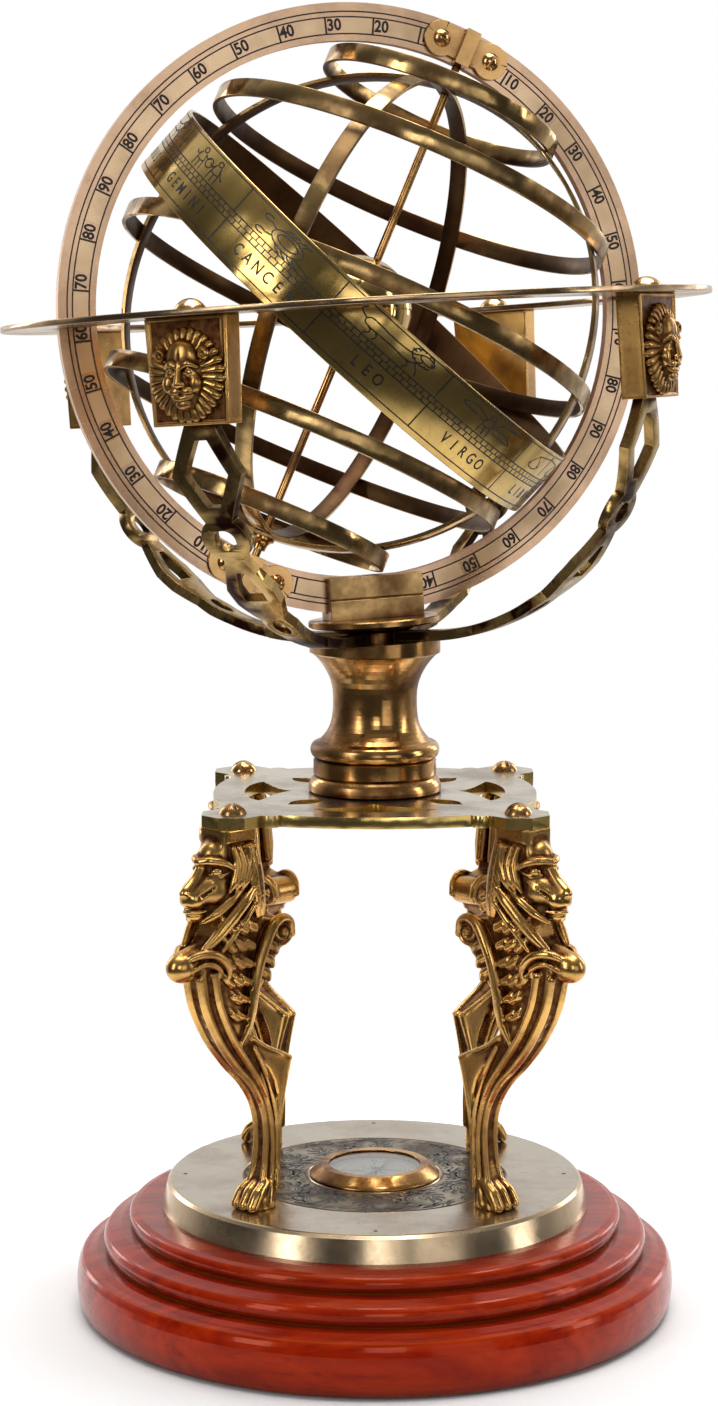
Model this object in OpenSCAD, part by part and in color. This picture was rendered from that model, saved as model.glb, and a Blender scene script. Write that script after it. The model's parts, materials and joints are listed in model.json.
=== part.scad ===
// Armillary sphere: a nest of rings round a small globe, held in a horizon
// ring on four fretted arms, over a turned column, a pierced table and four
// lion legs on a round brass disc and a stepped wooden base.
// +Z is up, -Y is the front, and the origin is the centre of the underside.

/* [Wooden base] */
// Radius of the middle of the lowest moulding
base_r = 106.8; // [100:0.1:112]
// Height of the whole wooden base
base_h = 35.8; // [34:0.1:38]
// Radius of the felt pad let into the underside
felt_r = 97; // [80:1:100]
// Thickness of the felt pad
felt_t = 1; // [0.6:0.1:2]

/* [Brass disc and compass] */
// Radius of the disc at its lower edge
disc_r = 76.3; // [70:0.1:80]
// Radius of the disc at its upper edge
disc_top_r = 73.6; // [68:0.1:76]
// Thickness of the disc
disc_t = 9.9; // [8:0.1:12]
// Radius of the compass bezel at its foot
bezel_r = 23.3; // [22:0.1:26]
// Height of the compass bezel
bezel_h = 4.2; // [4:0.1:6]
// Radius of the visible glass
glass_r = 16.4; // [14:0.1:17]

/* [Legs and table] */
// Distance from the centre line to each table screw, along X and Y
screw_xy = 48.2; // [46:0.1:50]
// Height of the underside of the table
table_z = 181; // [180:0.5:182]
// Thickness of the table
table_t = 4; // [3:0.5:5]
// Distance from the centre to the middle of each bowed side
table_side = 57; // [55:0.5:59]
// Distance of the middle of each foot from the centre line
foot_d = 57; // [56:0.5:62]

/* [Column] */
// Radius of the waist
waist_r = 14.8; // [12:0.1:17]
// Radius of the flange under the arms
flange_r = 23; // [21:0.1:25]
// Height of the flange's top face, where the upper frame stands
frame_z = 238.3; // [237:0.1:240]

/* [Upper frame] */
// Lean of the upper frame to the left, in degrees
lean_left = 3.3; // [0:0.1:4]
// Lean of the upper frame to the back, in degrees
lean_back = 1.4; // [0:0.1:2]
// Height of the centre of the rings
ring_z = 353.4; // [353:0.1:354]
// Azimuth of the first arm, in degrees
arm_turn = -28.5; // [-32:0.5:-25]
// Thickness of the arms
arm_t = 3.5; // [3:0.1:3.6]
// Outer radius of the horizon ring
horizon_r = 123; // [121:0.5:126]
// Inner radius of the horizon ring
horizon_in = 95.6; // [93:0.1:97]
// Thickness of the horizon ring
horizon_t = 2; // [1.5:0.1:2.5]

/* [Meridian ring] */
// Outer radius
meridian_r = 105.2; // [104.8:0.1:105.3]
// Inner radius
meridian_in = 92.2; // [91:0.1:93]
// Thickness
meridian_t = 4; // [3:0.1:4.2]
// Azimuth of the ring's plane, in degrees
meridian_turn = 16.5; // [12:0.5:20]
// Tilt of the polar axis from the frame's own upright, in degrees
pole_tilt = 26.7; // [24:0.1:35]

/* [Sphere] */
// Radius of the small globe
globe_r = 19.3; // [15:0.1:22]
// Radius of the polar rod
rod_r = 1.45; // [1.2:0.05:1.6]
// Width of the plain rings
strip_w = 6.2; // [5:0.1:6.4]
// Thickness of the plain rings
strip_t = 1.5; // [1.2:0.1:1.5]
// Outer radius of the solstitial colure
colure_r = 84.9; // [84:0.1:85]
// Longitude of the solstitial colure round the polar axis, in degrees
colure_turn = -33; // [-60:1:0]
// Outer radius of the tropic rings
tropic_r = 73; // [73:0.1:73.2]
// Distance of each tropic ring from the equator
tropic_h = 49.6; // [49.5:0.1:51]
// Outer radius of the polar circles
polar_r = 43; // [42:0.5:44]
// Distance of each polar circle from the equator
polar_h = 77.3; // [77.3:0.1:78]
// Inner radius of the zodiac band
zodiac_in = 86.8; // [86.7:0.1:87.5]
// Width of the zodiac band
zodiac_w = 25; // [22:0.5:25]
// Longitude of the zodiac band's tilt, in degrees
zodiac_turn = -45.5; // [-60:0.5:-30]

/* [Hidden] */
$fn = 120;

run = 0.05;                              // radial clearance of a running fit
plate_z = base_h;                        // underside of the brass disc
floor_z = base_h + disc_t;               // top of the brass disc
table_top = table_z + table_t;
head_r = screw_xy * sqrt(2);             // table screws, measured along the diagonal
obliquity = 23.5;                        // angle of the ecliptic to the equator

// compass
dial_r = glass_r + 1.2;
dial_t = 0.7;
glass_t = 0.7;
lip_t = 0.6;
spacer_t = bezel_h - lip_t - glass_t - dial_t;
needle_l = glass_r - 1.6;

// arms: a flat root, then an arc up to the block
root_in = 9;
root_out = 22.6;
arm_r = 84.5;                            // radius of the arm's centre line
arm_z = frame_z + arm_t / 2 + arm_r;     // height of the arc's centre
block_h = 34.4;
block_w = 30.4;
block_in = 104.5;
block_t = 9;
block_top = ring_z - horizon_t / 2;
block_z = block_top - block_h;           // underside of the block
arm_start = asin((arm_z - block_z) / arm_r);

// clamp disc and saddle
clamp_z = frame_z + arm_t;
clamp_top = frame_z + 8.3;
saddle_l = 34;
saddle_w = 12;
saddle_top = 261.5;

// meridian ring fittings
slot_gap = 0.15;
bracket_t = 1.8;
ear_r = 98.7;                            // radius of the bracket screws from the centre
ear_turn = 5.6;                          // half the angle between the bracket screws
rod_end = 98.6;

// distance of each horizon screw from the frame's upright
screw_r = block_in + block_t * 0.53;

function bez(a, b, c, d, n = 10) = [for (i = [0:n]) let (t = i / n, u = 1 - t)
    u * u * u * a + 3 * u * u * t * b + 3 * u * t * t * c + t * t * t * d];
function bulge(r, z0, z1, d, n = 12) = [for (i = [0:n]) let (a = 180 * i / n - 90)
    [r + d * cos(a), (z0 + z1) / 2 + (z1 - z0) / 2 * sin(a)]];

// ---------- shared shapes ----------

// slotted screw with a domed head; the head stands on z = 0
module round_screw(head, high, shank, length, slot = 1.1) {
    ball = (head * head + high * high) / (2 * high);
    difference() {
        intersection() {
            translate([0, 0, high - ball]) sphere(ball);
            cylinder(h = high + 1, r = head);
        }
        translate([-head, -slot / 2, high * 0.5]) cube([2 * head, slot, high]);
    }
    translate([0, 0, -length]) cylinder(h = length + high * 0.3, r = shank);
}

module ring(r_out, r_in, w) {
    difference() {
        cylinder(h = w, r = r_out, center = true, $fn = 180);
        cylinder(h = w + 1, r = r_in, center = true, $fn = 180);
    }
}

module each_corner() {
    for (k = [0:3]) rotate([0, 0, -45 + 90 * k]) children();
}

// the upper frame leans about the middle of the column's flange
module lean() {
    translate([0, 0, frame_z]) rotate([-lean_back, -lean_left, 0])
        translate([0, 0, -frame_z]) children();
}

// X lies in the meridian ring's plane, Y is its normal, Z is the frame's upright
module meridian_plane() {
    lean() translate([0, 0, ring_z]) rotate([0, 0, meridian_turn]) children();
}

// Z is the polar axis, X lies in the meridian plane
module polar() {
    meridian_plane() rotate([0, pole_tilt, 0]) children();
}

// ---------- base ----------

module base_felt() {
    color("darkgreen") cylinder(h = felt_t, r = felt_r);
}

module wooden_base() {
    step_1 = base_h * 0.57;
    step_2 = base_h * 0.81;
    color("firebrick") rotate_extrude($fn = 180) polygon(concat(
        [[0, felt_t], [felt_r, felt_t], [felt_r, 0], [base_r - 4, 0]],
        bulge(base_r - 2.8, 0.5, step_1 - 1, 2.8),
        [[base_r - 4.6, step_1 - 0.6], [base_r - 7, step_1 + 0.4], [base_r - 10.8, step_1 + 0.8]],
        bulge(base_r - 12, step_1 + 1, step_2 - 0.8, 2.4),
        [[base_r - 13.5, step_2 - 0.4], [base_r - 16, step_2 + 0.4], [base_r - 19.8, step_2 + 0.8]],
        bulge(base_r - 20.6, step_2 + 1, base_h - 0.4, 1.8),
        [[base_r - 22, base_h], [0, base_h]]));
}

module base_plate() {
    color("darkkhaki") difference() {
        translate([0, 0, plate_z]) rotate_extrude($fn = 180) polygon(concat(
            [[0, 0], [disc_r, 0], [disc_r, 0.8]],
            [[disc_top_r + 0.6, disc_t - 1.2], [disc_top_r - 0.4, disc_t - 0.2],
             [disc_top_r - 1, disc_t], [47.5, disc_t], [47.1, disc_t - 0.4], [46.7, disc_t],
             [24.6, disc_t], [24.2, disc_t - 0.4], [23.8, disc_t], [0, disc_t]]));
        each_corner() translate([foot_d, 0, plate_z]) {
            translate([0, 0, -1]) cylinder(h = 3.8, r = 3.9);
            cylinder(h = disc_t + 1, r = 2.15);
        }
    }
}

module compass_bezel() {
    color("goldenrod") translate([0, 0, floor_z]) rotate_extrude() polygon([
        [dial_r, 0], [bezel_r, 0], [bezel_r, 0.7], [bezel_r - 3.4, bezel_h - 0.4],
        [bezel_r - 3.9, bezel_h], [glass_r, bezel_h], [glass_r, bezel_h - lip_t],
        [dial_r, bezel_h - lip_t]]);
}

module compass_dial() {
    color("ivory") translate([0, 0, floor_z]) difference() {
        cylinder(h = dial_t, r = dial_r);
        translate([0, 0, -1]) cylinder(h = 3, r = 0.4);
    }
}

module compass_pivot() {
    color("silver") translate([0, 0, floor_z]) {
        cylinder(h = dial_t + spacer_t * 0.82, r = 0.4);
        translate([0, 0, dial_t]) difference() {
            cylinder(h = spacer_t * 0.22, r = 1.3);
            translate([0, 0, -1]) cylinder(h = 2, r = 0.3);
        }
    }
}

module compass_needle() {
    z = floor_z + dial_t + spacer_t * 0.3;
    color("royalblue") translate([0, 0, z]) rotate([0, 0, 65]) difference() {
        union() {
            linear_extrude(0.4) polygon([[needle_l, 0], [0, 1.9], [-needle_l, 0], [0, -1.9]]);
            cylinder(h = spacer_t * 0.4, r = 1.5);
        }
        translate([0, 0, -1]) cylinder(h = 3, r = 0.4 + run);
    }
}

module compass_spacer() {
    color("goldenrod") translate([0, 0, floor_z + dial_t + spacer_t / 2])
        ring(dial_r, glass_r + 0.2, spacer_t);
}

module compass_glass() {
    color("lightcyan") translate([0, 0, floor_z + dial_t + spacer_t])
        cylinder(h = glass_t, r = dial_r);
}

// ---------- legs ----------

// side view of a leg: X runs outward along the diagonal, Y is up
module leg_side() {
    paw = floor_z;
    polygon(concat(
        bez([51.4, paw], [50.4, paw + 6], [49.4, paw + 12], [48.6, paw + 18]),
        bez([48.6, paw + 18], [47.4, paw + 28], [43.6, paw + 42], [39, paw + 54.6]),
        bez([40, paw + 55.4], [54, paw + 60], [63, paw + 70], [57, paw + 80]),
        bez([54, paw + 85], [50, paw + 90], [50, paw + 99], [58, paw + 105]),
        [[60.5, paw + 114], [64, table_z], [82, table_z]],
        bez([82.5, paw + 130], [88, paw + 124], [92, paw + 112], [84, paw + 106]),
        bez([80, paw + 104], [82, paw + 98], [88, paw + 98], [94, paw + 95]),
        bez([96, paw + 88], [92, paw + 66], [62, paw + 50], [58, paw + 31]),
        bez([58, paw + 31], [56.4, paw + 22], [57, paw + 12], [66, paw + 5]),
        [[66, paw]]));
}

// front view of a leg, half on each side of the diagonal
module leg_front() {
    paw = floor_z;
    half = concat([[6.6, paw], [6.6, paw + 4]],
        bez([6.2, paw + 8], [5, paw + 16], [4.2, paw + 22], [4.4, paw + 32]),
        bez([5, paw + 44], [7.5, paw + 54], [8.5, paw + 66], [8.5, paw + 84]),
        bez([8.5, paw + 96], [12, paw + 106], [12, paw + 120], [9.5, table_z]));
    count = len(half);
    polygon(concat(half, [for (i = [1:count]) [-half[count - i][0], half[count - i][1]]]));
}

module leg(k) {
    paw = floor_z;
    color("peru") rotate([0, 0, -45 + 90 * k]) difference() {
        union() {
            intersection() {
                rotate([90, 0, 0]) linear_extrude(30, center = true) leg_side();
                rotate([90, 0, 90]) linear_extrude(110) leg_front();
            }
            // scrolls at the back of the neck and at the knee, rolled across the leg
            translate([47.4, 0, paw + 98.4]) rotate([90, 0, 0])
                cylinder(h = 12.5, r = 5.6, center = true);
            translate([89.6, 0, paw + 91.2]) rotate([90, 0, 0])
                cylinder(h = 15, r = 5.4, center = true);
            // brow, muzzle and lower jaw
            translate([77, 0, paw + 122]) sphere(10.5);
            translate([85.2, 0, paw + 112.6]) sphere(7.2);
            translate([84.8, 0, paw + 106.5]) sphere(4.8);
            // toes
            for (a = [-1:1]) translate([64.6, a * 4.4, paw + 2.6]) intersection() {
                sphere(2.9);
                translate([-4, -4, -2.6]) cube([8, 8, 6]);
            }
        }
        // opening behind the acanthus stem
        translate([0, 0, paw]) rotate([90, 0, 0]) linear_extrude(30, center = true)
            polygon([[50.2, 41], [49.6, 44], [51, 48.4], [54, 53.4], [56, 55], [56, 52], [54.2, 47.4], [52, 43]]);
        translate([foot_d, 0, paw - 1]) cylinder(h = 10.5, r = 2 + run);
        translate([head_r, 0, table_z - 15]) cylinder(h = 16, r = 2.4 + run);
    }
}

module leg_foot_screws() {
    color("dimgray") each_corner() translate([foot_d, 0, plate_z + 0.2]) {
        cylinder(h = 2.6, r = 3.7);
        cylinder(h = disc_t + 8, r = 2);
    }
}

module leg_top_screws() {
    color("goldenrod") each_corner() translate([head_r, 0, table_top])
        rotate([0, 0, 60]) round_screw(4.8, 3.6, 2.4, table_t + 13, 1.2);
}

// ---------- table ----------

module leaf(length, width) {
    polygon(concat(
        bez([0, 0], [length * 0.2, width * 0.1], [length * 0.3, width * 0.5], [length * 0.55, width * 0.5]),
        bez([length * 0.55, width * 0.5], [length * 0.8, width * 0.5], [length * 0.9, 0.1], [length, 0]),
        bez([length, 0], [length * 0.9, -0.1], [length * 0.8, -width * 0.5], [length * 0.55, -width * 0.5]),
        bez([length * 0.55, -width * 0.5], [length * 0.3, -width * 0.5], [length * 0.2, -width * 0.1], [0, 0])));
}

// a wide leaf with its point towards the column and a bowed outer edge
module side_hole(half, inner, outer) {
    wide = outer - 6;
    polygon(concat(
        bez([0, inner], [half * 0.15, inner + 5], [half * 0.6, wide - 3], [half, wide]),
        bez([half, wide], [half * 0.9, wide + 3.5], [half * 0.45, outer], [0, outer]),
        bez([0, outer], [-half * 0.45, outer], [-half * 0.9, wide + 3.5], [-half, wide]),
        bez([-half, wide], [-half * 0.6, wide - 3], [-half * 0.15, inner + 5], [0, inner])));
}

module table_plate() {
    bow_r = 105;
    color("darkgoldenrod") translate([0, 0, table_z]) linear_extrude(table_t) difference() {
        union() {
            square(2 * (table_side - 5), center = true);
            for (k = [0:3]) rotate([0, 0, 90 * k]) {
                intersection() {
                    translate([-35, 0]) square([70, table_side + 1]);
                    translate([0, table_side - bow_r]) circle(bow_r, $fn = 360);
                }
                for (side = [-1, 1]) translate([side * 35.5, table_side - 5.5]) circle(3.2);
                translate([screw_xy, screw_xy]) rotate([0, 0, 22.5]) circle(11.2, $fn = 8);
            }
        }
        for (k = [0:3]) rotate([0, 0, 90 * k]) {
            side_hole(21, 29.5, 46);
            rotate([0, 0, 45]) translate([24.4, 0]) leaf(18.4, 8.4);
            translate([screw_xy, screw_xy]) circle(2.55);
        }
        circle(3.2);
    }
}

// ---------- column and clamp ----------

module below_leaned(z) {
    intersection() {
        children();
        lean() translate([0, 0, z - 100]) cylinder(h = 100, r = 60);
    }
}

module column() {
    z = table_top;
    color("peru") difference() {
        union() {
            below_leaned(frame_z) rotate_extrude() polygon(concat(
                [[0, z], [flange_r - 0.4, z]],
                bez([flange_r + 0.4, z + 0.8], [flange_r + 0.6, z + 3], [flange_r - 0.4, z + 5.2],
                    [flange_r - 2, z + 6], 6),
                [[flange_r - 1.3, z + 6.6], [flange_r - 1.3, z + 11.4], [flange_r - 2, z + 12]],
                bulge(flange_r - 2.6, z + 12.2, z + 18, 2.4),
                bez([flange_r - 3.5, z + 18.5], [waist_r, z + 23], [waist_r, z + 27], [waist_r, z + 34]),
                bez([waist_r, z + 34], [waist_r, z + 41], [waist_r + 4, z + 46], [flange_r - 1.2, z + 49]),
                [[flange_r, z + 49.6], [flange_r, z + 60], [0, z + 60]]));
            below_leaned(frame_z + arm_t) translate([0, 0, frame_z - 20])
                cylinder(h = 30, r = root_in - 0.5);
        }
        translate([0, 0, z - 1]) cylinder(h = 80, r = 3.3);
    }
}

module tie_bolt() {
    color("dimgray") {
        translate([0, 0, table_z]) mirror([0, 0, 1]) round_screw(7, 3.6, 3, 1, 1.6);
        translate([0, 0, table_z - 1]) cylinder(h = clamp_top - table_z, r = 3);
    }
}

module clamp_disc() {
    color("peru") difference() {
        lean() rotate_extrude() polygon(concat(
            [[0, clamp_z], [12.5, clamp_z]],
            bez([13.5, clamp_z + 0.4], [15, clamp_z + 1.6], [19, clamp_z + 1.6], [flange_r - 1, clamp_z + 2.2], 6),
            [[flange_r, clamp_z + 2.8], [flange_r, clamp_top - 0.4], [flange_r - 0.4, clamp_top],
             [0, clamp_top]]));
        translate([0, 0, frame_z - 5]) cylinder(h = clamp_top - frame_z + 4.2, r = 3 + run);
    }
}

// the slot's floor is concentric with the meridian ring that slides in it
module saddle() {
    color("goldenrod") meridian_plane() difference() {
        translate([-saddle_l / 2, -saddle_w / 2, clamp_top - ring_z])
            cube([saddle_l, saddle_w, saddle_top - clamp_top]);
        rotate([90, 0, 0]) cylinder(h = meridian_t + 2 * slot_gap, r = meridian_r + 0.3,
            center = true, $fn = 180);
        for (side = [-1, 1]) translate([0, side * (saddle_w / 2), clamp_top - ring_z + 7.2])
            rotate([45, 0, 0]) cube([saddle_l + 2, 0.7, 0.7], center = true);
    }
}

// ---------- arms and blocks ----------

// part of the arm's curved strip, cut from a flat pattern held square to it;
// s is the distance down the arm from its top, and the pattern's X runs down
module arm_piece(s) {
    turn = arm_start + s / arm_r * 180 / PI - 90;
    intersection() {
        rotate([90, 0, 0]) difference() {
            cylinder(h = 40, r = arm_r + arm_t / 2, center = true, $fn = 180);
            cylinder(h = 41, r = arm_r - arm_t / 2, center = true, $fn = 180);
        }
        rotate([0, turn, 0]) rotate([0, 0, 180]) translate([0, 0, -arm_r - 6])
            linear_extrude(12) children();
    }
}

module hexagon_loop() {
    difference() {
        polygon([[-16, 5.5], [0.5, 13], [17, 5], [17, -5], [0.5, -13], [-16, -5.5]]);
        polygon([[-11, 2.2], [0.5, 8], [11.5, 2.4], [11.5, -2.4], [0.5, -8], [-11, -2.2]]);
    }
}

module lobe() {
    difference() {
        union() {
            circle(8.6);
            translate([-10, -5]) square([6, 10]);
            translate([6, -3.5]) square([6, 7]);
        }
        circle(3.9);
    }
}

module diamond() {
    difference() {
        polygon([[-16, 3.4], [-2, 8.6], [6, 8.2], [17, 4], [17, -4], [6, -8.2], [-2, -8.6], [-16, -3.4]]);
        polygon([[-10, 1.4], [-1, 4.2], [4, 4], [4, -4], [-1, -4.2], [-10, -1.4]]);
    }
}

module lens() {
    difference() {
        polygon([[-9, 4.2], [0, 5.4], [9, 4], [9, -4], [0, -5.4], [-9, -4.2]]);
        intersection() {
            translate([0, 5.5]) circle(8);
            translate([0, -5.5]) circle(8);
        }
    }
}

module arm_tail(length) {
    polygon([[-length / 2, 4.2], [length / 2, 3.25], [length / 2, -3.25], [-length / 2, -4.2]]);
}

module arm(k) {
    total = arm_r * (90 - arm_start) * PI / 180;
    color("darkgoldenrod") lean() rotate([0, 0, arm_turn + 90 * k]) {
        intersection() {
            translate([root_out, 0, arm_z]) {
                arm_piece(15.5) hexagon_loop();
                arm_piece(39) lobe();
                arm_piece(62) diamond();
                arm_piece(84) lens();
                arm_piece(103) arm_tail(24);
                arm_piece(total - 8) arm_tail(20);
            }
            translate([root_out, -20, frame_z]) cube([100, 40, block_z - frame_z]);
        }
        translate([root_in, -3.25, frame_z]) cube([root_out - root_in + 0.5, 6.5, arm_t]);
    }
}

// lion mask in relief on the face of a block; X is outward, Z is up
module lion_mask() {
    rotate([0, 90, 0]) {
        cylinder(h = 1.6, r = 11.2);
        for (a = [0:18:342]) rotate([0, 0, a]) translate([6, -0.8, 0.8]) cube([4.6, 1.6, 1.5]);
        // brow, cheeks, muzzle and chin stand out in steps
        cylinder(h = 2.8, r = 7.2);
        translate([-2.2, 0, 0]) cylinder(h = 3.6, r = 4.6);
        for (side = [-1, 1]) translate([2.6, side * 2.2, 0]) cylinder(h = 4, r = 2.3);
        translate([-2.5, -1.1, 0]) cube([5.5, 2.2, 4.4]);
        translate([5.4, 0, 0]) cylinder(h = 3.4, r = 1.9);
    }
}

module lion_block(k) {
    mid = (block_z + block_top) / 2;
    color("peru") difference() {
        lean() rotate([0, 0, arm_turn + 90 * k]) {
            translate([block_in, 0, 0]) rotate([90, 0, 90]) linear_extrude(block_t)
                polygon([[-block_w / 2, block_top], [block_w / 2, block_top],
                         [block_w / 2 - 1.2, block_z], [-block_w / 2 + 1.2, block_z]]);
            translate([block_in + block_t - 0.2, 0, mid + 0.3]) lion_mask();
        }
        lean() rotate([0, 0, arm_turn + 90 * k]) translate([screw_r, 0, block_top - 14])
            cylinder(h = 15, r = 1.8 + run);
    }
}

// ---------- horizon ring ----------

module horizon_ring() {
    notch = meridian_t + 1.4;
    color("burlywood") lean() difference() {
        translate([0, 0, ring_z]) ring(horizon_r, horizon_in, horizon_t);
        translate([0, 0, ring_z]) rotate([0, 0, meridian_turn])
            cube([2 * (meridian_r + 1.3), notch, 10], center = true);
        for (k = [0:3]) rotate([0, 0, arm_turn + 90 * k])
            translate([screw_r, 0, ring_z - 5]) cylinder(h = 10, r = 1.95);
    }
}

module horizon_screws() {
    color("goldenrod") lean() for (k = [0:3]) rotate([0, 0, arm_turn + 90 * k])
        translate([screw_r, 0, ring_z + horizon_t / 2])
            rotate([0, 0, 25 + 40 * k]) round_screw(5.3, 3.6, 1.8, horizon_t + 12, 1.1);
}

// ---------- meridian ring ----------

module ring_groove(r, w = 0.5, deep = 0.25) {
    for (side = [-1, 1]) translate([0, side * meridian_t / 2, 0]) rotate([90, 0, 0])
        difference() {
            cylinder(h = 2 * deep, r = r + w / 2, center = true, $fn = 180);
            cylinder(h = 2 * deep + 1, r = r - w / 2, center = true, $fn = 180);
        }
}

module meridian_ring() {
    band = meridian_r - meridian_in;
    color("tan") polar() difference() {
        rotate([90, 0, 0]) ring(meridian_r, meridian_in, meridian_t);
        ring_groove(meridian_r - 0.24 * band);
        ring_groove(meridian_r - 0.38 * band);
        ring_groove(meridian_r - 0.82 * band);
        // the rod's ends lie in slots cut from the front face to the middle
        for (end = [0, 180]) rotate([0, end, 0]) {
            cylinder(h = rod_end + 0.4, r = rod_r + run);
            translate([-rod_r - run, -meridian_t, meridian_in - 1])
                cube([2 * (rod_r + run), meridian_t, rod_end + 1.4 - meridian_in]);
            for (side = [-1, 1]) rotate([0, side * ear_turn, 0]) translate([0, 0, ear_r])
                rotate([90, 0, 0]) cylinder(h = 10, r = 1.25 + run, center = true);
        }
    }
}

module at_ears() {
    for (side = [-1, 1]) rotate(side * ear_turn) translate([0, ear_r]) children();
}

// two rounded ears on the ring's front face, with a raised bridge over the rod
module bracket() {
    color("goldenrod") translate([0, -meridian_t / 2, 0]) rotate([90, 0, 0]) {
        linear_extrude(bracket_t) difference() {
            union() {
                at_ears() circle(6.2);
                translate([-6.5, ear_r - 5]) square([13, 10]);
            }
            at_ears() circle(1.4);
        }
        translate([-2.6, ear_r - 6.4, 0]) cube([5.2, 12.8, 3.6]);
    }
}

module north_bracket() {
    polar() bracket();
}

module south_bracket() {
    polar() rotate([0, 180, 0]) bracket();
}

module bracket_screws() {
    color("gold") polar() for (end = [0, 180], side = [-1, 1])
        rotate([0, end + side * ear_turn, 0])
            translate([0, -meridian_t / 2 - bracket_t, ear_r]) rotate([90, 0, 0])
                rotate([0, 0, 50 * side + 30]) round_screw(3.1, 1.9, 1.25, bracket_t + 3.4, 0.8);
}

// ---------- sphere ----------

module polar_rod() {
    color("tan") polar() cylinder(h = 2 * (rod_end - 0.1), r = rod_r, center = true);
}

module pole_collars() {
    color("peru") polar() for (end = [0, 180]) rotate([0, end, 0])
        translate([0, 0, colure_r + 0.05]) difference() {
            rotate_extrude() polygon(concat([[0, 0], [4.2, 0], [4.2, 0.8]],
                bez([4.2, 0.8], [2.6, 1.6], [2.4, 2.6], [2.4, 4.6], 6), [[0, 4.6]]));
            translate([0, 0, -1]) cylinder(h = 8, r = rod_r);
        }
}

module globe() {
    color("darkgoldenrod") polar() difference() {
        sphere(globe_r);
        cylinder(h = 3 * globe_r, r = rod_r, center = true);
    }
}

module colure(r_out, turn) {
    polar() difference() {
        rotate([0, 0, turn]) rotate([90, 0, 0]) ring(r_out, r_out - strip_t, strip_w);
        cylinder(h = 3 * r_out, r = rod_r, center = true);
    }
}

module solstitial_colure() {
    color("darkgoldenrod") colure(colure_r, colure_turn);
}

module equinoctial_colure() {
    color("darkgoldenrod") colure(colure_r - strip_t - 0.05, colure_turn + 90);
}

module parallel_ring(r_out, h) {
    color("darkgoldenrod") polar() translate([0, 0, h]) ring(r_out, r_out - strip_t, strip_w);
}

module equator_ring() {
    parallel_ring(colure_r + strip_t + 0.05, 0);
}

module zodiac_band() {
    color("gold") polar() rotate([0, 0, zodiac_turn]) rotate([0, obliquity, 0])
        ring(zodiac_in + 1.4, zodiac_in, zodiac_w);
}

// ---------- assembly ----------

base_felt();
wooden_base();
base_plate();
compass_bezel();
compass_dial();
compass_pivot();
compass_needle();
compass_spacer();
compass_glass();
leg(0);  // leg_front_right
leg(1);  // leg_back_right
leg(2);  // leg_back_left
leg(3);  // leg_front_left
leg_foot_screws();
leg_top_screws();
table_plate();
column();
tie_bolt();
arm(0);  // arm_front_right
arm(1);  // arm_back_right
arm(2);  // arm_back_left
arm(3);  // arm_front_left
lion_block(0);  // lion_block_front_right
lion_block(1);  // lion_block_back_right
lion_block(2);  // lion_block_back_left
lion_block(3);  // lion_block_front_left
clamp_disc();
saddle();
horizon_ring();
horizon_screws();
meridian_ring();
north_bracket();
south_bracket();
bracket_screws();
polar_rod();
pole_collars();
globe();
solstitial_colure();
equinoctial_colure();
equator_ring();
parallel_ring(tropic_r, tropic_h);  // north_tropic_ring
parallel_ring(tropic_r, -tropic_h);  // south_tropic_ring
parallel_ring(polar_r, polar_h);  // north_polar_ring
parallel_ring(polar_r, -polar_h);  // south_polar_ring
zodiac_band();
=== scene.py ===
"""Armillary sphere: finishes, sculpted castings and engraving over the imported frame."""
import math
import random

import bpy
import numpy as np
from mathutils import Matrix, Vector
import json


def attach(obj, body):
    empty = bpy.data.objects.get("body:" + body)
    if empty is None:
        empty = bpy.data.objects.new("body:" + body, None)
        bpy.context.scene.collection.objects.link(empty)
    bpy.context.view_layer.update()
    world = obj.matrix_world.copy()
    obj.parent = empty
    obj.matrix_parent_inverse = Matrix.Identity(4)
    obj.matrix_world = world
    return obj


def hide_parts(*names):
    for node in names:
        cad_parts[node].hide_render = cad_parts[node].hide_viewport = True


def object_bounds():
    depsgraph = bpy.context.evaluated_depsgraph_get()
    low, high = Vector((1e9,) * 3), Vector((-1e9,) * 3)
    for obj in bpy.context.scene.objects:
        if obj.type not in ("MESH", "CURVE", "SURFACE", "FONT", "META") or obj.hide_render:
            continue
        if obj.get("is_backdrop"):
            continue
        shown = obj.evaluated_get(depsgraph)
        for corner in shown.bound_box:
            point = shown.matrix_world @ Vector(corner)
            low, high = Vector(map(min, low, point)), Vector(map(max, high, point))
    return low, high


MM = 0.001
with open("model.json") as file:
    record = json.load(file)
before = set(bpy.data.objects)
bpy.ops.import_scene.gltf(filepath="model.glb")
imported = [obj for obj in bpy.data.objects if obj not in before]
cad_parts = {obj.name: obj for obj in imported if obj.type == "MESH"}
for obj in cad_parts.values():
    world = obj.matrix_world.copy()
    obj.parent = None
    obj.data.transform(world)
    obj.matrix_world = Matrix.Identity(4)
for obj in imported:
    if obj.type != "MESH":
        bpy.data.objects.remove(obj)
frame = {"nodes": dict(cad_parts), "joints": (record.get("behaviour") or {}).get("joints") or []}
cad_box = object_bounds()
scene = bpy.context.scene

# The upper frame leans about the middle of the column's flange, as in the CAD.
FRAME_Z = 238.3
LEAN = Matrix.Rotation(math.radians(-3.3), 4, "Y") @ Matrix.Rotation(math.radians(-1.4), 4, "X")
ARM_TURN = -28.5
# Heights in millimetres: top of the brass disc, compass card and underside of the table plate.
FLOOR = 45.7
CARD = FLOOR + 0.7
TABLE = 181.0


# ---------------------------------------------------------------- materials

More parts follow.
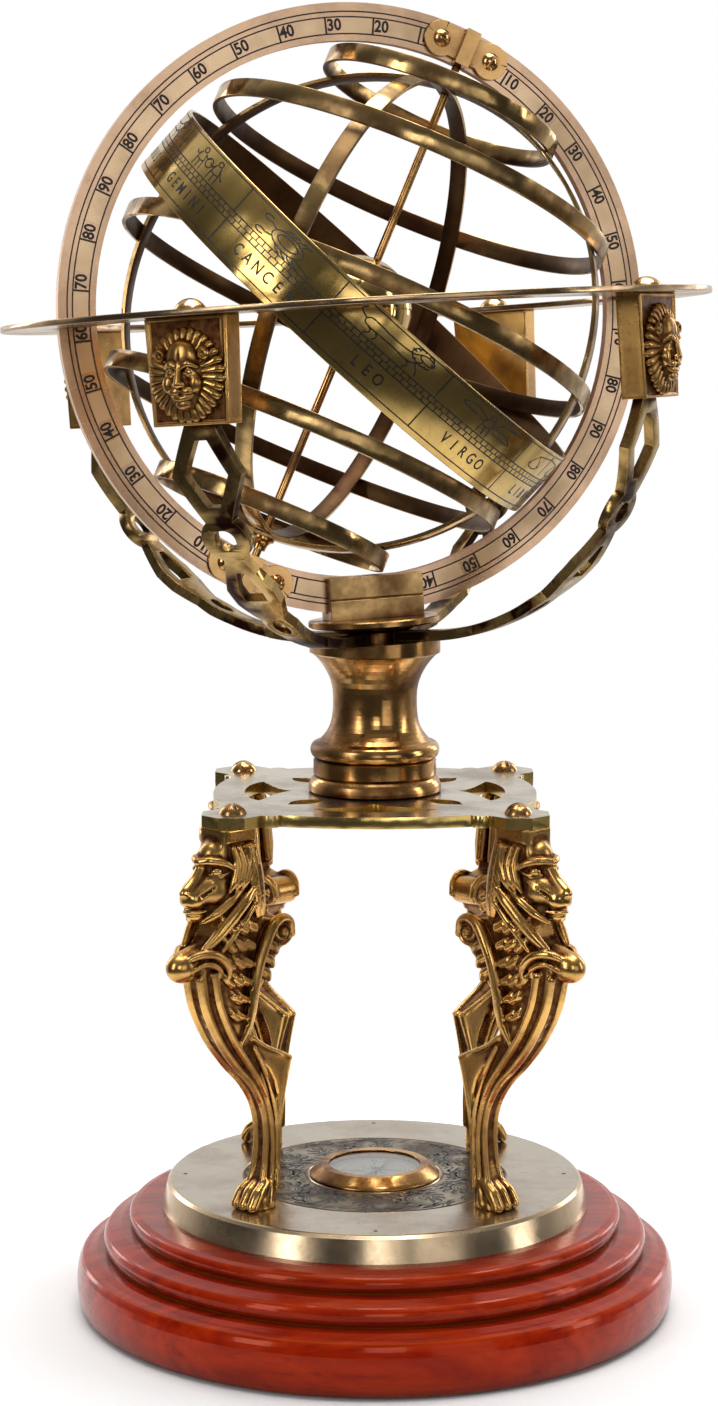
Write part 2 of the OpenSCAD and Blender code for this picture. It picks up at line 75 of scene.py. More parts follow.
class Nodes:
    """A node tree in the making. Each call adds nodes and returns an output."""

    def __init__(self, owner):
        owner.use_nodes = True
        self.tree = owner.node_tree

    def put(self, socket, value):
        if isinstance(value, bpy.types.NodeSocket):
            self.tree.links.new(value, socket)
        elif isinstance(value, tuple) and len(value) == 3 and socket.type == "RGBA":
            socket.default_value = (*value, 1.0)
        else:
            socket.default_value = value

    def add(self, kind, inputs=None, out=0, **settings):
        node = self.tree.nodes.new("ShaderNode" + kind)
        for key, value in settings.items():
            setattr(node, key, value)
        for key, value in (inputs or {}).items():
            self.put(node.inputs[key], value)
        return node.outputs[out]

    def place(self, stretch=(1, 1, 1)):
        spot = self.add("TexCoord", out="Object")
        if stretch == (1, 1, 1):
            return spot
        return self.add("Mapping", {"Vector": spot, "Scale": stretch})

    def noise(self, scale, detail, rough=0.5, stretch=(1, 1, 1)):
        return self.add("TexNoise", {"Vector": self.place(stretch), "Scale": scale, "Detail": detail,
                                     "Roughness": rough})

    def calc(self, kind, a, b=0.0):
        return self.add("Math", {0: a, 1: b}, operation=kind)

    def times(self, a, b):
        return self.calc("MULTIPLY", a, b)

    def vector(self, kind, a, b=None):
        out = "Value" if kind in ("DOT_PRODUCT", "LENGTH") else "Vector"
        return self.add("VectorMath", {0: a} if b is None else {0: a, 1: b}, out=out, operation=kind)

    def span(self, value, low, high, to_low=0.0, to_high=1.0):
        return self.add("MapRange", {"Value": value, "From Min": low, "From Max": high,
                                     "To Min": to_low, "To Max": to_high})

    def blend(self, factor, a, b):
        node = self.tree.nodes.new("ShaderNodeMix")
        node.data_type = "RGBA"
        for key, value in (("Factor", factor), ("A", a), ("B", b)):
            self.put(node.inputs[key], value)
        return node.outputs["Result"]

    def bump(self, height, depth, strength, below=None):
        inputs = {"Height": height, "Distance": depth, "Strength": strength}
        if below is not None:
            inputs["Normal"] = below
        return self.add("Bump", inputs)

    def flatness(self, reach):
        """1 on open faces, less where an edge turns away within reach."""
        eased = self.add("Bevel", {"Radius": reach}, samples=4)
        return self.vector("DOT_PRODUCT", eased, self.add("NewGeometry", out="Normal"))

    def crevice(self, reach):
        """1 in corners and recesses, 0 on open faces: ambient occlusion, which darkens colour as painted
        shade.
        """
        light = self.add("AmbientOcclusion", {"Distance": reach}, out="AO", samples=4)
        return self.calc("SUBTRACT", 1.0, light)


class Look(Nodes):
    """The nodes of a new material."""

    def __init__(self, name):
        self.material = bpy.data.materials.new(name)
        super().__init__(self.material)

    def done(self, **sockets):
        shader = self.tree.nodes["Principled BSDF"]
        for key, value in sockets.items():
            self.put(shader.inputs[key.replace("_", " ")], value)
        return self.material


def metal(name, light, dark, rough, stain, patina_and_corner_shade, reach=0.004, turned=None, relief=False, inside=None,
          flat=None, edge_wear_and_highlight=0.0):
    """Polished or patinated brass: stain clouds it, and the next factor darkens, with relief,
    the hollows that the sculpted mesh carries, as patina, and otherwise corners within reach by
    ambient occlusion, which is painted shade as well as patina. turned is the centre and axis that
    lathe lines go round. Faces that look back at the point inside get painted shade, as on the inner
    side of a ring. flat is a paler color for level tops, a painted reflection of the light above, and
    the last argument says how far edges are rubbed bright."""
    look = Look(name)
    cloud = look.noise(38, 4, 0.6)
    spots = look.noise(420, 3, 0.6)
    tone = look.span(cloud, 0.42, 0.72 - 0.13 * stain, 0.0, stain)
    if relief:
        hollow = look.add("Attribute", out="Fac", attribute_name="relief")
        deep = look.times(look.span(hollow, 0.62, 0.43), look.span(spots, 0.25, 0.7, 0.8, 1.0))
        tone = look.calc("MAXIMUM", look.times(deep, patina_and_corner_shade), tone)
    elif patina_and_corner_shade:
        # painted shade: ambient occlusion darkens corners and recesses within reach, standing also for
        # patina
        tone = look.calc("ADD", tone, look.times(look.crevice(reach), patina_and_corner_shade))
    # painted shade: faces that look back towards the inside point, as on the inner side of a ring, turn
    # dark
    if inside is not None:
        back = look.vector("NORMALIZE", look.vector("SUBTRACT", tuple(inside), look.place()))
        inward = look.vector("DOT_PRODUCT", back, look.add("TexCoord", out="Normal"))
        shade = look.times(look.span(inward, 0.25, 0.6), look.span(cloud, 0.3, 0.7, 0.88, 1.0))
        tone = look.calc("MAXIMUM", tone, shade)
    tone = look.calc("MINIMUM", tone, 1.0)
    if edge_wear_and_highlight:
        rubbed = look.times(look.span(look.flatness(0.0007), 0.99, 0.9), edge_wear_and_highlight)
        tone = look.times(tone, look.calc("SUBTRACT", 1.0, rubbed))
    # painted reflection: level tops take the paler flat color, as where they mirror the light above
    if flat is not None:
        level = look.add("SeparateXYZ", {0: look.add("TexCoord", out="Normal")}, out="Z")
        light = look.blend(look.span(level, 0.9, 0.99), light, flat)
    color = look.blend(tone, light, dark)
    color = look.blend(look.span(spots, 0.55, 0.8, 0.0, 0.25), color, dark)
    finish = look.calc("ADD", look.span(cloud, 0.3, 0.8, rough * 0.75, rough * 1.2), look.times(tone, 0.28))
    scuff = look.noise(1500, 2, 0.5, (1, 0.06, 1))
    grain_depth = 0.00002
    normal = look.bump(look.calc("ADD", scuff, look.times(spots, 2.0)), grain_depth, 0.15)
    if turned is not None:
        centre, axis = turned
        spot = look.vector("SUBTRACT", look.place(), tuple(centre))
        high = look.vector("DOT_PRODUCT", spot, tuple(axis))
        far = look.vector("LENGTH", spot)
        wide = look.calc("SQRT", look.calc("SUBTRACT", look.times(far, far), look.times(high, high)))
        seat = look.add("CombineXYZ", {0: wide, 1: look.times(high, 0.4)})
        lines = look.add("TexNoise", {"Vector": seat, "Scale": 2600.0, "Detail": 2.0})
        normal = look.bump(lines, grain_depth, 0.35, normal)
    return look.done(Base_Color=color, Metallic=1.0, Roughness=finish, Normal=normal)


def mahogany(name):
    look = Look(name)
    spot = look.place((1.0, 9.0, 9.0))
    figure = look.add("TexNoise", {"Vector": spot, "Scale": 9.0, "Detail": 6.0, "Roughness": 0.62,
                                   "Distortion": 1.6})
    pores = look.noise(260, 3, 0.6, (0.12, 1.6, 1.6))
    bands = look.add("TexWave", {"Vector": look.place((0.5, 1, 1)), "Scale": 22.0, "Distortion": 9.0,
                                 "Detail": 3.0, "Detail Scale": 1.2}, out="Fac", bands_direction="Y")
    tone = look.calc("ADD", look.times(figure, 0.9), look.times(bands, 0.1))
    color = look.blend(look.span(tone, 0.3, 0.72), (0.20, 0.0050, 0.0016), (0.44, 0.028, 0.003))
    color = look.blend(look.span(pores, 0.6, 0.72, 0.0, 0.5), color, (0.06, 0.002, 0.001))
    # painted shade: corners and recesses within 12 mm darken by ambient occlusion
    color = look.blend(look.crevice(0.012), color, (0.030, 0.0010, 0.0008))
    # painted highlight: rounded edges turn a paler orange
    edge_wear_and_highlight = look.times(look.span(look.flatness(0.0016), 0.992, 0.93), 0.6)
    color = look.blend(edge_wear_and_highlight, color, (0.60, 0.12, 0.012))
    swell = look.noise(70, 3, 0.5, (0.5, 1.4, 1.4))
    normal = look.bump(look.calc("ADD", look.times(swell, 6.0), pores), 0.00004, 0.5)
    return look.done(Base_Color=color, Roughness=look.span(pores, 0.4, 0.8, 0.16, 0.3), Normal=normal,
                     Coat_Normal=look.bump(swell, 0.0002, 0.5), Coat_Weight=0.16, Coat_Roughness=0.03,
                     Coat_IOR=1.5, Specular_Tint=(1.0, 0.20, 0.06, 1.0))


def felt(name):
    look = Look(name)
    fuzz = look.noise(1400, 4, 0.7)
    color = look.blend(look.span(fuzz, 0.3, 0.75), (0.006, 0.03, 0.014), (0.02, 0.075, 0.035))
    return look.done(Base_Color=color, Roughness=0.95, Sheen_Weight=0.4, Sheen_Roughness=0.5,
                     Normal=look.bump(fuzz, 0.0004, 0.8))


def lacquer(name, color, rough):
    """Black or tinted wax rubbed into engraving."""
    look = Look(name)
    grain = look.noise(900, 3, 0.6)
    faded = tuple(0.6 * c + 0.03 for c in color)
    return look.done(Base_Color=look.blend(look.span(grain, 0.35, 0.8, 0.0, 0.6), color, faded),
                     Roughness=look.span(grain, 0.3, 0.8, rough, rough + 0.2),
                     Normal=look.bump(grain, 0.00002, 0.4))


def clear_glass(name):
    look = Look(name)
    haze = look.noise(300, 2)
    return look.done(Base_Color=(0.97, 0.985, 0.98), Transmission_Weight=1.0, IOR=1.45,
                     Roughness=look.span(haze, 0.4, 0.8, 0.0, 0.03))


def card(name):
    look = Look(name)
    fibre = look.noise(2200, 4, 0.7)
    color = look.blend(look.span(fibre, 0.3, 0.8), (0.62, 0.59, 0.54), (0.50, 0.47, 0.42))
    return look.done(Base_Color=color, Roughness=0.7, Normal=look.bump(fibre, 0.00003, 0.5))


# ---------------------------------------------------------------- sculpting

def around(r, a, centre=(0, 0)):
    """The flat point at distance r from the centre, in the direction of the angle a."""
    return centre[0] + r * math.cos(a), centre[1] + r * math.sin(a)


def thread(points, count):
    """A smooth path through the points, with count steps from each to the next."""
    p = np.array(points, float)
    p = np.vstack([2 * p[0] - p[1], p, 2 * p[-1] - p[-2]])
    t = np.linspace(0, 1, count, endpoint=False)[:, None]
    path = []
    for a, b, c, d in zip(p[:-3], p[1:-2], p[2:-1], p[3:]):
        path.append(0.5 * (2 * b + (c - a) * t + (2 * a - 5 * b + 4 * c - d) * t ** 2
                           + (3 * b - a - 3 * c + d) * t ** 3))
    return np.vstack(path + [p[-2:-1]])


class Clay:
    """Signed distances on a grid, in millimetres. Only y >= 0 is held; the rest mirrors it."""
    EMPTY = 3.0
    NEAR = 2.5

    def __init__(self, low, high, cell):
        self.cell = cell
        self.low = np.array([low[0], 0.0, low[2]])
        size = np.ceil((np.array(high, float) - self.low) / cell).astype(int) + 1
        self.field = np.full(size, self.EMPTY, np.float32)

    def window(self, low, high):
        a = np.maximum(np.floor((np.array(low) - self.low) / self.cell).astype(int), 0)
        b = np.minimum(np.ceil((np.array(high) - self.low) / self.cell).astype(int) + 1,
                       self.field.shape)
        b = np.maximum(a, b)
        part = tuple(slice(i, j) for i, j in zip(a, b))
        axes = [(self.low[n] + self.cell * np.arange(a[n], b[n])).astype(np.float32) for n in range(3)]
        return part, *np.meshgrid(*axes, indexing="ij", sparse=True)

    def press(self, part, shape, soft, cut):
        old = self.field[part]
        if old.size == 0:
            return
        sign = -1.0 if cut else 1.0
        a = sign * old
        h = np.clip(0.5 + 0.5 * (shape - a) / soft, 0, 1)
        self.field[part] = sign * (shape + (a - shape) * h - soft * h * (1 - h))

    def tube(self, points, radii, soft, cut=False, smooth=4):
        path = thread(points, smooth) if smooth else np.array(points, float)
        radii = np.interp(np.linspace(0, 1, len(path)), np.linspace(0, 1, len(radii)), radii)
        reach = radii.max() + soft + self.cell
        part, x, y, z = self.window(path.min(0) - reach, path.max(0) + reach)
        best = None
        for a, b, ra, rb in zip(path[:-1], path[1:], radii[:-1], radii[1:]):
            run = b - a
            dx, dy, dz = x - a[0], y - a[1], z - a[2]
            t = np.clip((dx * run[0] + dy * run[1] + dz * run[2]) / max(run @ run, 1e-9), 0, 1)
            gap = np.sqrt((dx - t * run[0]) ** 2 + (dy - t * run[1]) ** 2 + (dz - t * run[2]) ** 2)
            gap = gap - (ra + t * (rb - ra))
            best = gap if best is None else np.minimum(best, gap)
        self.press(part, best, soft, cut)

    def ball(self, centre, radii, soft, cut=False):
        """An ellipsoid."""
        reach = max(radii) + soft + self.cell
        centre = np.array(centre, float)
        part, x, y, z = self.window(centre - reach, centre + reach)
        offsets = (x - centre[0], y - centre[1], z - centre[2])
        k0 = np.sqrt(sum((d / r) ** 2 for d, r in zip(offsets, radii)))
        k1 = np.sqrt(sum((d / r ** 2) ** 2 for d, r in zip(offsets, radii)))
        self.press(part, k0 * (k0 - 1) / np.maximum(k1, 1e-6), soft, cut)

    def plate(self, outline, half, rounding, soft=0.6, cut=False):
        """A side-view outline given thickness; half is a width, or pairs of height and width."""
        ring = np.array(outline, float)
        wide = np.max([h for _, h in half]) if isinstance(half, list) else half
        pad = soft + self.cell
        low = (ring[:, 0].min() - pad, 0, ring[:, 1].min() - pad)
        high = (ring[:, 0].max() + pad, wide + pad, ring[:, 1].max() + pad)
        part, x, y, z = self.window(low, high)
        flat_x, flat_z = np.broadcast_arrays(x[:, 0, :], z[:, 0, :])
        gap = np.full(flat_x.shape, 1e9)
        inside = np.zeros(flat_x.shape, bool)
        for a, b in zip(ring, np.roll(ring, -1, axis=0)):
            run = b - a
            dx, dz = flat_x - a[0], flat_z - a[1]
            t = np.clip((dx * run[0] + dz * run[1]) / max(run @ run, 1e-9), 0, 1)
            gap = np.minimum(gap, (dx - t * run[0]) ** 2 + (dz - t * run[1]) ** 2)
            crossing = (a[1] > flat_z) != (b[1] > flat_z)
            reach = a[0] + (flat_z - a[1]) * run[0] / (run[1] if abs(run[1]) > 1e-9 else 1e-9)
            inside ^= crossing & (flat_x < reach)
        gap = np.sqrt(gap) * np.where(inside, -1, 1)
        if isinstance(half, list):
            half = np.interp(z, [h[0] for h in half], [h[1] for h in half])
        u = gap[:, None, :] + rounding
        v = y - half + rounding
        shape = np.sqrt(np.maximum(u, 0) ** 2 + np.maximum(v, 0) ** 2) + np.minimum(np.maximum(u, v), 0)
        self.press(part, (shape - rounding).astype(np.float32), soft, cut)

    def trim(self, bottom, top):
        _, _, _, z = self.window(self.low, self.low + self.cell * np.array(self.field.shape))
        self.field = np.maximum(self.field, np.maximum(bottom - z, z - top))

    def mesh(self, name):
        """Surface nets: one vertex in each cell that the surface crosses. The relief attribute is
        above 0.5 on ridges and below it in hollows."""
        full = np.concatenate([self.field[:, :0:-1, :], self.field], axis=1)
        low = self.low.copy()
        low[1] -= self.cell * (self.field.shape[1] - 1)
        full = np.pad(full, 1, constant_values=self.EMPTY)
        low = low - self.cell
        solid = full < 0
        n = np.array(full.shape) - 1
        hits = sum(solid[i:i + n[0], j:j + n[1], k:k + n[2]].astype(np.int8)
                   for i in (0, 1) for j in (0, 1) for k in (0, 1))
        cells = np.argwhere((hits > 0) & (hits < 8))
        total = np.zeros((len(cells), 3))
        count = np.zeros((len(cells), 1))
        for axis in range(3):
            step = np.eye(3, dtype=int)[axis]
            others = [e for e in range(3) if e != axis]
            for i, j in ((0, 0), (0, 1), (1, 0), (1, 1)):
                corner = np.zeros(3, int)
                corner[others[0]], corner[others[1]] = i, j
                va = full[tuple((cells + corner).T)]
                vb = full[tuple((cells + corner + step).T)]
                crossed = (va < 0) != (vb < 0)
                t = np.where(crossed, va / np.where(crossed, va - vb, 1), 0)
                total += np.where(crossed, 1, 0)[:, None] * (corner + t[:, None] * step)
                count += crossed[:, None]
        points = (low + self.cell * (cells + total / count)) * MM
        number = np.full(n, -1)
        number[tuple(cells.T)] = np.arange(len(cells))
        faces = []
        for axis in range(3):
            u, v = (axis + 1) % 3, (axis + 2) % 3
            step = np.eye(3, dtype=int)
            head = np.moveaxis(solid, axis, 0)
            change = np.moveaxis(head[1:] != head[:-1], 0, axis)
            at = np.argwhere(change)
            at = at[(at[:, u] > 0) & (at[:, v] > 0)]
            quad = [number[tuple((at - a * step[u] - b * step[v]).T)]
                    for a, b in ((0, 0), (1, 0), (1, 1), (0, 1))]
            quad = np.stack(quad, axis=1)
            flip = ~solid[tuple(at.T)]
            quad[flip] = quad[flip][:, ::-1]
            faces.append(quad)
        faces = np.vstack(faces)
        faces = faces[(faces >= 0).all(axis=1)]
        mesh = bpy.data.meshes.new(name)
        mesh.from_pydata(points.tolist(), [], faces.tolist())
        mesh.shade_smooth()
        sharp = np.clip(full, -self.NEAR, self.NEAR)
        soft = sharp
        for _ in range(2):
            soft = blur(soft, max(1, round(0.9 / self.cell)))
        raised = soft[tuple(cells.T)] - sharp[tuple(cells.T)]
        value = np.clip(0.5 + raised / 1.1, 0, 1).astype(np.float32)
        mesh.attributes.new("relief", "FLOAT", "POINT").data.foreach_set("value", value)
        return mesh


def blur(field, half):
    """A box filter along each axis."""
    for axis in range(3):
        wide = 2 * half + 1
        padded = np.pad(field, [(half + 1, half) if a == axis else (0, 0) for a in range(3)], mode="edge")
        run = np.cumsum(padded, axis=axis, dtype=np.float64)
        head = np.take(run, range(wide, run.shape[axis]), axis=axis)
        tail = np.take(run, range(0, run.shape[axis] - wide), axis=axis)
        field = (head - tail) / wide
    return field


def volute(clay, centre, radius, half, start):
    """A rolled scroll across the leg, with its spiral cut into each end."""
    turns, steps, outer, inner = -1.5, 26, radius * 0.92, 1.3
    ring = [around(radius, a, centre) for a in np.linspace(0, 2 * math.pi, 28, endpoint=False)]
    clay.plate(ring, half, 1.2, 0.8)
    spiral = []
    for i in range(steps + 1):
        t = i / steps
        a = math.radians(start) + turns * 2 * math.pi * t
        x, z = around(outer + (inner - outer) * t, a, centre)
        spiral.append((x, half + 0.1, z))
    clay.tube(spiral, [0.75, 0.85, 0.7], 0.35, cut=True, smooth=0)
    clay.ball((centre[0], half, centre[1]), (1.3, 1.0, 1.3), 0.4)


def leg_limbs(clay):
    """Shin, pierced fin, long ridges, chest and the scroll behind."""
    outline = [(52.4, 45), (52, 50), (51.2, 58), (50.2, 68), (49, 76), (47.4, 84), (45.2, 91),
               (43.2, 97), (50, 99.8), (57, 103), (63.4, 107), (63, 115), (61.4, 122), (57.6, 127),
               (54.4, 132), (50, 137.6), (51, 146.6), (59.4, 149), (61.4, 158), (62.4, 168),
               (63.2, 182), (78, 182), (78, 160), (77.6, 152), (81.6, 144), (86.4, 139.6), (87, 133),
               (84.6, 124), (82.6, 116.6), (78, 108), (71.6, 100), (64.8, 93.2), (59.6, 86.6),
               (56.8, 80.6), (55.6, 74.6), (55.6, 68.6), (56.4, 62.6), (58.4, 56), (61, 45)]
    widths = [(45, 4.6), (60, 3.2), (84, 3.2), (98, 3.2), (112, 4.2), (140, 5.4), (160, 5.8)]
    clay.plate(outline, widths, 0.9)
    clay.tube([(69.6, 0, 158), (71.4, 0, 144), (72.4, 0, 132), (71.6, 0, 119), (69, 0, 108)],
              [7.6, 7.6, 7.0, 5.6, 4.0], 2.5)
    edge = [(86.4, 3.4, 131), (83.8, 3.3, 120), (77.8, 3.2, 108.4), (70.2, 3.0, 98.6), (62.6, 2.8, 90.6),
            (57.6, 2.6, 82), (55.8, 2.5, 73), (56.4, 2.6, 62), (59.2, 3.6, 50)]
    clay.tube(edge, [1.6, 1.6, 1.5, 1.4, 1.2, 1.1, 1.1, 1.3], 0.5)
    border = [(82.2, 5.3, 132), (79.4, 5.0, 120.6), (73.4, 4.5, 109), (65.8, 4.0, 98.8), (58.8, 3.6, 89.4),
              (54.6, 3.3, 79), (53.2, 3.2, 69), (54.0, 3.4, 58), (56.4, 4.4, 48)]
    clay.tube(border, [1.9, 1.8, 1.6, 1.3, 1.1, 1.0, 1.0, 1.2], 0.35)
    groove = (np.array(edge) + np.array(border)) / 2 + (0, 1.3, 0)
    clay.tube(groove, [0.7, 0.7, 0.6, 0.5, 0.5, 0.45], 0.4, cut=True)
    clay.tube([(78.0, 5.8, 123), (73.4, 5.4, 113), (66.4, 4.8, 103), (59.6, 4.2, 94), (55.0, 3.8, 84),
               (52.2, 3.6, 74), (51.6, 3.7, 64)], [0.6, 0.6, 0.5, 0.4], 0.4, cut=True)
    clay.tube([(63.2, 4.6, 104), (58.4, 4.2, 96), (54.4, 3.8, 87), (51.8, 3.5, 76), (51.2, 3.4, 64),
               (52.4, 4.2, 53)], [0.9, 1.1, 1.0, 0.9, 0.9, 1.1], 0.35)
    clay.tube([(43.8, 1.6, 96.4), (46.2, 2.2, 89.4), (48.4, 2.5, 80.6), (50, 2.7, 70)],
              [0.8, 0.9, 0.9, 0.7], 0.5)
    clay.tube([(43.8, 1.8, 97), (50, 2.6, 99.8), (57, 3.2, 103), (63, 3.8, 107)], [0.8, 1.0, 1.1], 0.5)
    clay.plate([(51.4, 82.8), (51, 85.4), (52.2, 89.6), (55, 94.4), (57.2, 96.2), (57, 93.4), (55.2, 89),
                (53.2, 84.6)], 12, 0.3, 0.5, cut=True)
    volute(clay, (50, 142.4), 5.0, 6.0, 70)


def leg_foliage(clay):
    """Ribbon stem and lobes behind, pointed leaves on the chest, knob and leaf at the knee, and paw."""
    ribbon = [(45.4, 5.2, 141), (46.6, 5.6, 145.6), (50.6, 6.0, 147.6), (55.4, 6.4, 146),
              (59.6, 6.8, 140.6), (63.0, 6.8, 133), (64.8, 6.6, 125.4), (65.6, 6.2, 118),
              (67.0, 5.6, 111.6), (69.8, 4.6, 105.6)]
    clay.tube(ribbon, [1.0, 1.2, 1.6, 2.0, 2.2, 2.1, 2.0, 1.8, 1.5, 0.8], 0.35)
    for i in range(3):
        z = 137.4 - 4.4 * i
        root = 58.6 + 1.2 * i
        reach = 6.0 - 0.6 * i
        clay.tube([(root, 4.4, z + 2.4), (root - reach * 0.6, 5.0, z + 0.8), (root - reach, 4.2, z - 1.6)],
                  [2.2, 2.0, 1.3], 0.3)
        clay.tube([(root, 6.6, z + 1.8), (root - reach * 0.7, 7.0, z - 0.6)], [0.4, 0.35], 0.3, cut=True)
    # each leaf is a low pointed blade with a groove below it
    for row in range(6):
        z = 147.6 - 6.2 * row
        size = 1.0 - 0.07 * row
        for j in range(2 if row > 3 else 3):
            x = 66.6 + 4.3 * j * size + 0.45 * row
            y = 7.4 * size + 0.8 - 0.6 * abs(j - 0.6)
            rise = 1.4 + 0.9 * j
            blade = [(x - 2.6, y - 0.8, z - rise * 0.9), (x, y, z - 1.0),
                     (x + 2.6, y + 0.1, z + rise * 0.5), (x + 4.8 * size, y - 0.9, z + rise + 1.6)]
            clay.tube(blade, [0.6, 2.0 * size, 1.8 * size, 0.4], 0.2)
            clay.tube([(a + 0.4, b + 1.2, c - 1.9) for a, b, c in blade], [0.4, 0.55, 0.4], 0.2, cut=True)
            clay.tube([(x - 1.4, y + 1.8 * size, z - 1.2), (x + 2.4, y + 1.8 * size, z + rise * 0.5)],
                      [0.22, 0.3], 0.15, cut=True)
        front = 78.6 + 0.4 * row
        clay.tube([(front - 4, 2.4, z + 2.6), (front - 0.6, 1.6, z + 0.2), (front - 0.4, 0, z - 3.2)],
                  [1.6, 1.8, 0.8], 0.3)
    # knob at the knee, with a leaf drawn back from it
    clay.ball((91.6, 0, 135.4), (5.8, 4.9, 5.2), 0.8)
    clay.tube([(91, 0, 136.4), (86, 0, 137.6), (80.4, 0, 137.6)], [4.4, 4.8, 5.6], 1.2)
    clay.tube([(92, 3.2, 138.2), (87.4, 5.6, 140), (82, 7.2, 139), (77.8, 7.8, 135), (76.6, 7.4, 130.8)],
              [1.0, 1.7, 1.8, 1.4, 0.6], 0.3)
    clay.tube([(91, 4.8, 134.6), (86.4, 6.4, 136.8), (81.6, 7.6, 134.8), (80.4, 7.0, 131.4)],
              [0.7, 1.2, 1.1, 0.5], 0.3)
    clay.tube([(89.4, 5.6, 137.2), (84.4, 7.6, 138), (79.8, 8.4, 134.4)], [0.4, 0.5, 0.4], 0.25, cut=True)
    # paw: heel and three smooth toes
    clay.ball((57.6, 0, 48.6), (6.0, 5.2, 6.4), 1.8)
    for y in (0.0, 3.9):
        clay.tube([(56.4, y * 0.8, 55), (60.8, y * 0.95, 51.8), (63.6, y, 47.8)], [1.7, 2.2, 2.1], 0.8)
    clay.tube([(60, 2.1, 54.2), (63.2, 2.1, 51), (66, 2.1, 46.4)], [0.2, 0.4, 0.35], 0.35, cut=True)


def lion_head(clay):
    """A narrow head at the top of the leg, its long muzzle pointing outward and down."""
    clay.ball((71.4, 0, 166), (9.4, 7.4, 10), 1.5)
    clay.ball((76.4, 0, 171), (6.0, 5.8, 6.2), 1.6)
    clay.ball((71, 0, 173), (7.0, 7.2, 6.4), 1.6)
    clay.tube([(78, 0, 163), (86.6, 0, 158.2)], [5.8, 4.4], 1.8, smooth=0)
    clay.tube([(82.0, 0, 168.6), (85.2, 0, 164.4), (89.4, 0, 160.8)], [2.0, 2.1, 2.2], 1.0)
    clay.tube([(89.4, 1.7, 159.6), (90.6, 0, 160.4)], [1.1, 1.5], 0.3, smooth=0)
    clay.tube([(83.8, 0.6, 170.4), (81.8, 3.6, 170.8), (77.6, 6.4, 169.8), (74.2, 7.7, 167.6)],
              [1.3, 1.5, 1.3, 0.9], 0.8)
    clay.ball((80.8, 5.0, 167.2), (2.8, 2.2, 1.4), 0.35, cut=True)
    clay.ball((79.8, 4.5, 167.3), (2.2, 2.0, 1.4), 0.2)
    clay.tube([(82.4, 3.8, 166.3), (79.4, 6.1, 165.8), (76.6, 7.2, 166.6)], [0.45, 0.6, 0.4], 0.25)
    clay.tube([(82.6, 4.0, 164.8), (79.0, 6.6, 164.4), (75.8, 7.7, 165.8)], [0.5, 0.6, 0.4], 0.25, cut=True)
    clay.ball((78.4, 3.8, 160.6), (6.2, 3.4, 5.2), 1.8)
    clay.tube([(82.2, 5.7, 163.4), (86, 4.0, 160.6), (88.8, 2.6, 158.6)], [0.4, 0.6, 0.4], 0.3)
    clay.tube([(82.0, 5.8, 162.0), (85.8, 4.3, 159.4)], [0.4, 0.5], 0.3, cut=True)
    clay.ball((87.4, 1.0, 157.2), (2.9, 2.8, 1.8), 0.4)
    clay.tube([(92.6, 0, 156.0), (88.0, 2.4, 155.4), (83.2, 4.6, 156.4)], [0.75, 0.7, 0.4], 0.25, cut=True)
    clay.ball((85.2, 0, 152.6), (3.8, 3.2, 2.7), 0.6)
    clay.tube([(89.8, 0, 154.2), (87.6, 2.3, 154.0), (84.2, 3.9, 154.2)], [0.85, 0.85, 0.5], 0.25)
    # plain cap under the table, with hair combed back below it
    clay.plate([(63.6, 175.6), (76.6, 176), (77.2, 182), (63.2, 182)], 6.8, 0.9, 0.3)
    clay.tube([(62.4, 7.1, 175), (77, 7.1, 175.4)], [0.45, 0.45], 0.2, cut=True, smooth=0)
    for i in range(3):
        x = 74.2 - 2.6 * i
        lock = [(x + 0.4, 7.2, 174.6), (x - 0.6, 8.2, 169), (x + 1.4, 8.7, 163.4), (x + 3.0, 8.2, 160.2)]
        clay.tube(lock, [1.0, 1.5, 1.4, 0.5], 0.25)
    for x, y in ((64.6, 7.2), (67.2, 8.0)):
        clay.tube([(x + 1.0, y, 174.6), (x - 0.2, y + 0.3, 166), (x - 1.6, y, 157.6),
                   (x - 3.4, y - 0.8, 150.4)], [1.5, 2.0, 2.1, 1.2], 0.3)
        clay.tube([(x + 0.8, y + 1.9, 172), (x - 0.6, y + 2.2, 163.6), (x - 2.2, y + 1.7, 154.8)],
                  [0.25, 0.4, 0.3], 0.2, cut=True)
    clay.tube([(62.4, 2.6, 175), (60.2, 3.0, 164), (58.4, 3.0, 153)], [2.0, 2.4, 1.8], 0.4)
    # two broad bands sweep down from behind the jaw to the knee, the upper one a beard
    clay.tube([(66.4, 8.5, 160.6), (70.8, 9.0, 156.8), (76.4, 8.4, 151.4), (81.4, 7.0, 145.8),
               (85.8, 5.2, 141.4)], [1.5, 2.1, 2.2, 2.0, 1.3], 0.3)
    clay.tube([(65.8, 8.9, 158), (70.6, 9.4, 153.4), (76, 8.8, 148.2), (80.6, 7.6, 142.8)],
              [0.4, 0.5, 0.5, 0.4], 0.25, cut=True)
    clay.tube([(64.8, 8.4, 156), (69.8, 8.8, 151.4), (75.2, 8.4, 146.0), (79.6, 7.4, 140.6)],
              [0.9, 1.2, 1.2, 0.8], 0.3)
    clay.tube([(71.6, 8.0, 160.4), (76.4, 7.6, 157), (81.4, 6.0, 153.2), (85.2, 3.8, 150.6)],
              [0.9, 1.7, 1.7, 0.9], 0.3)


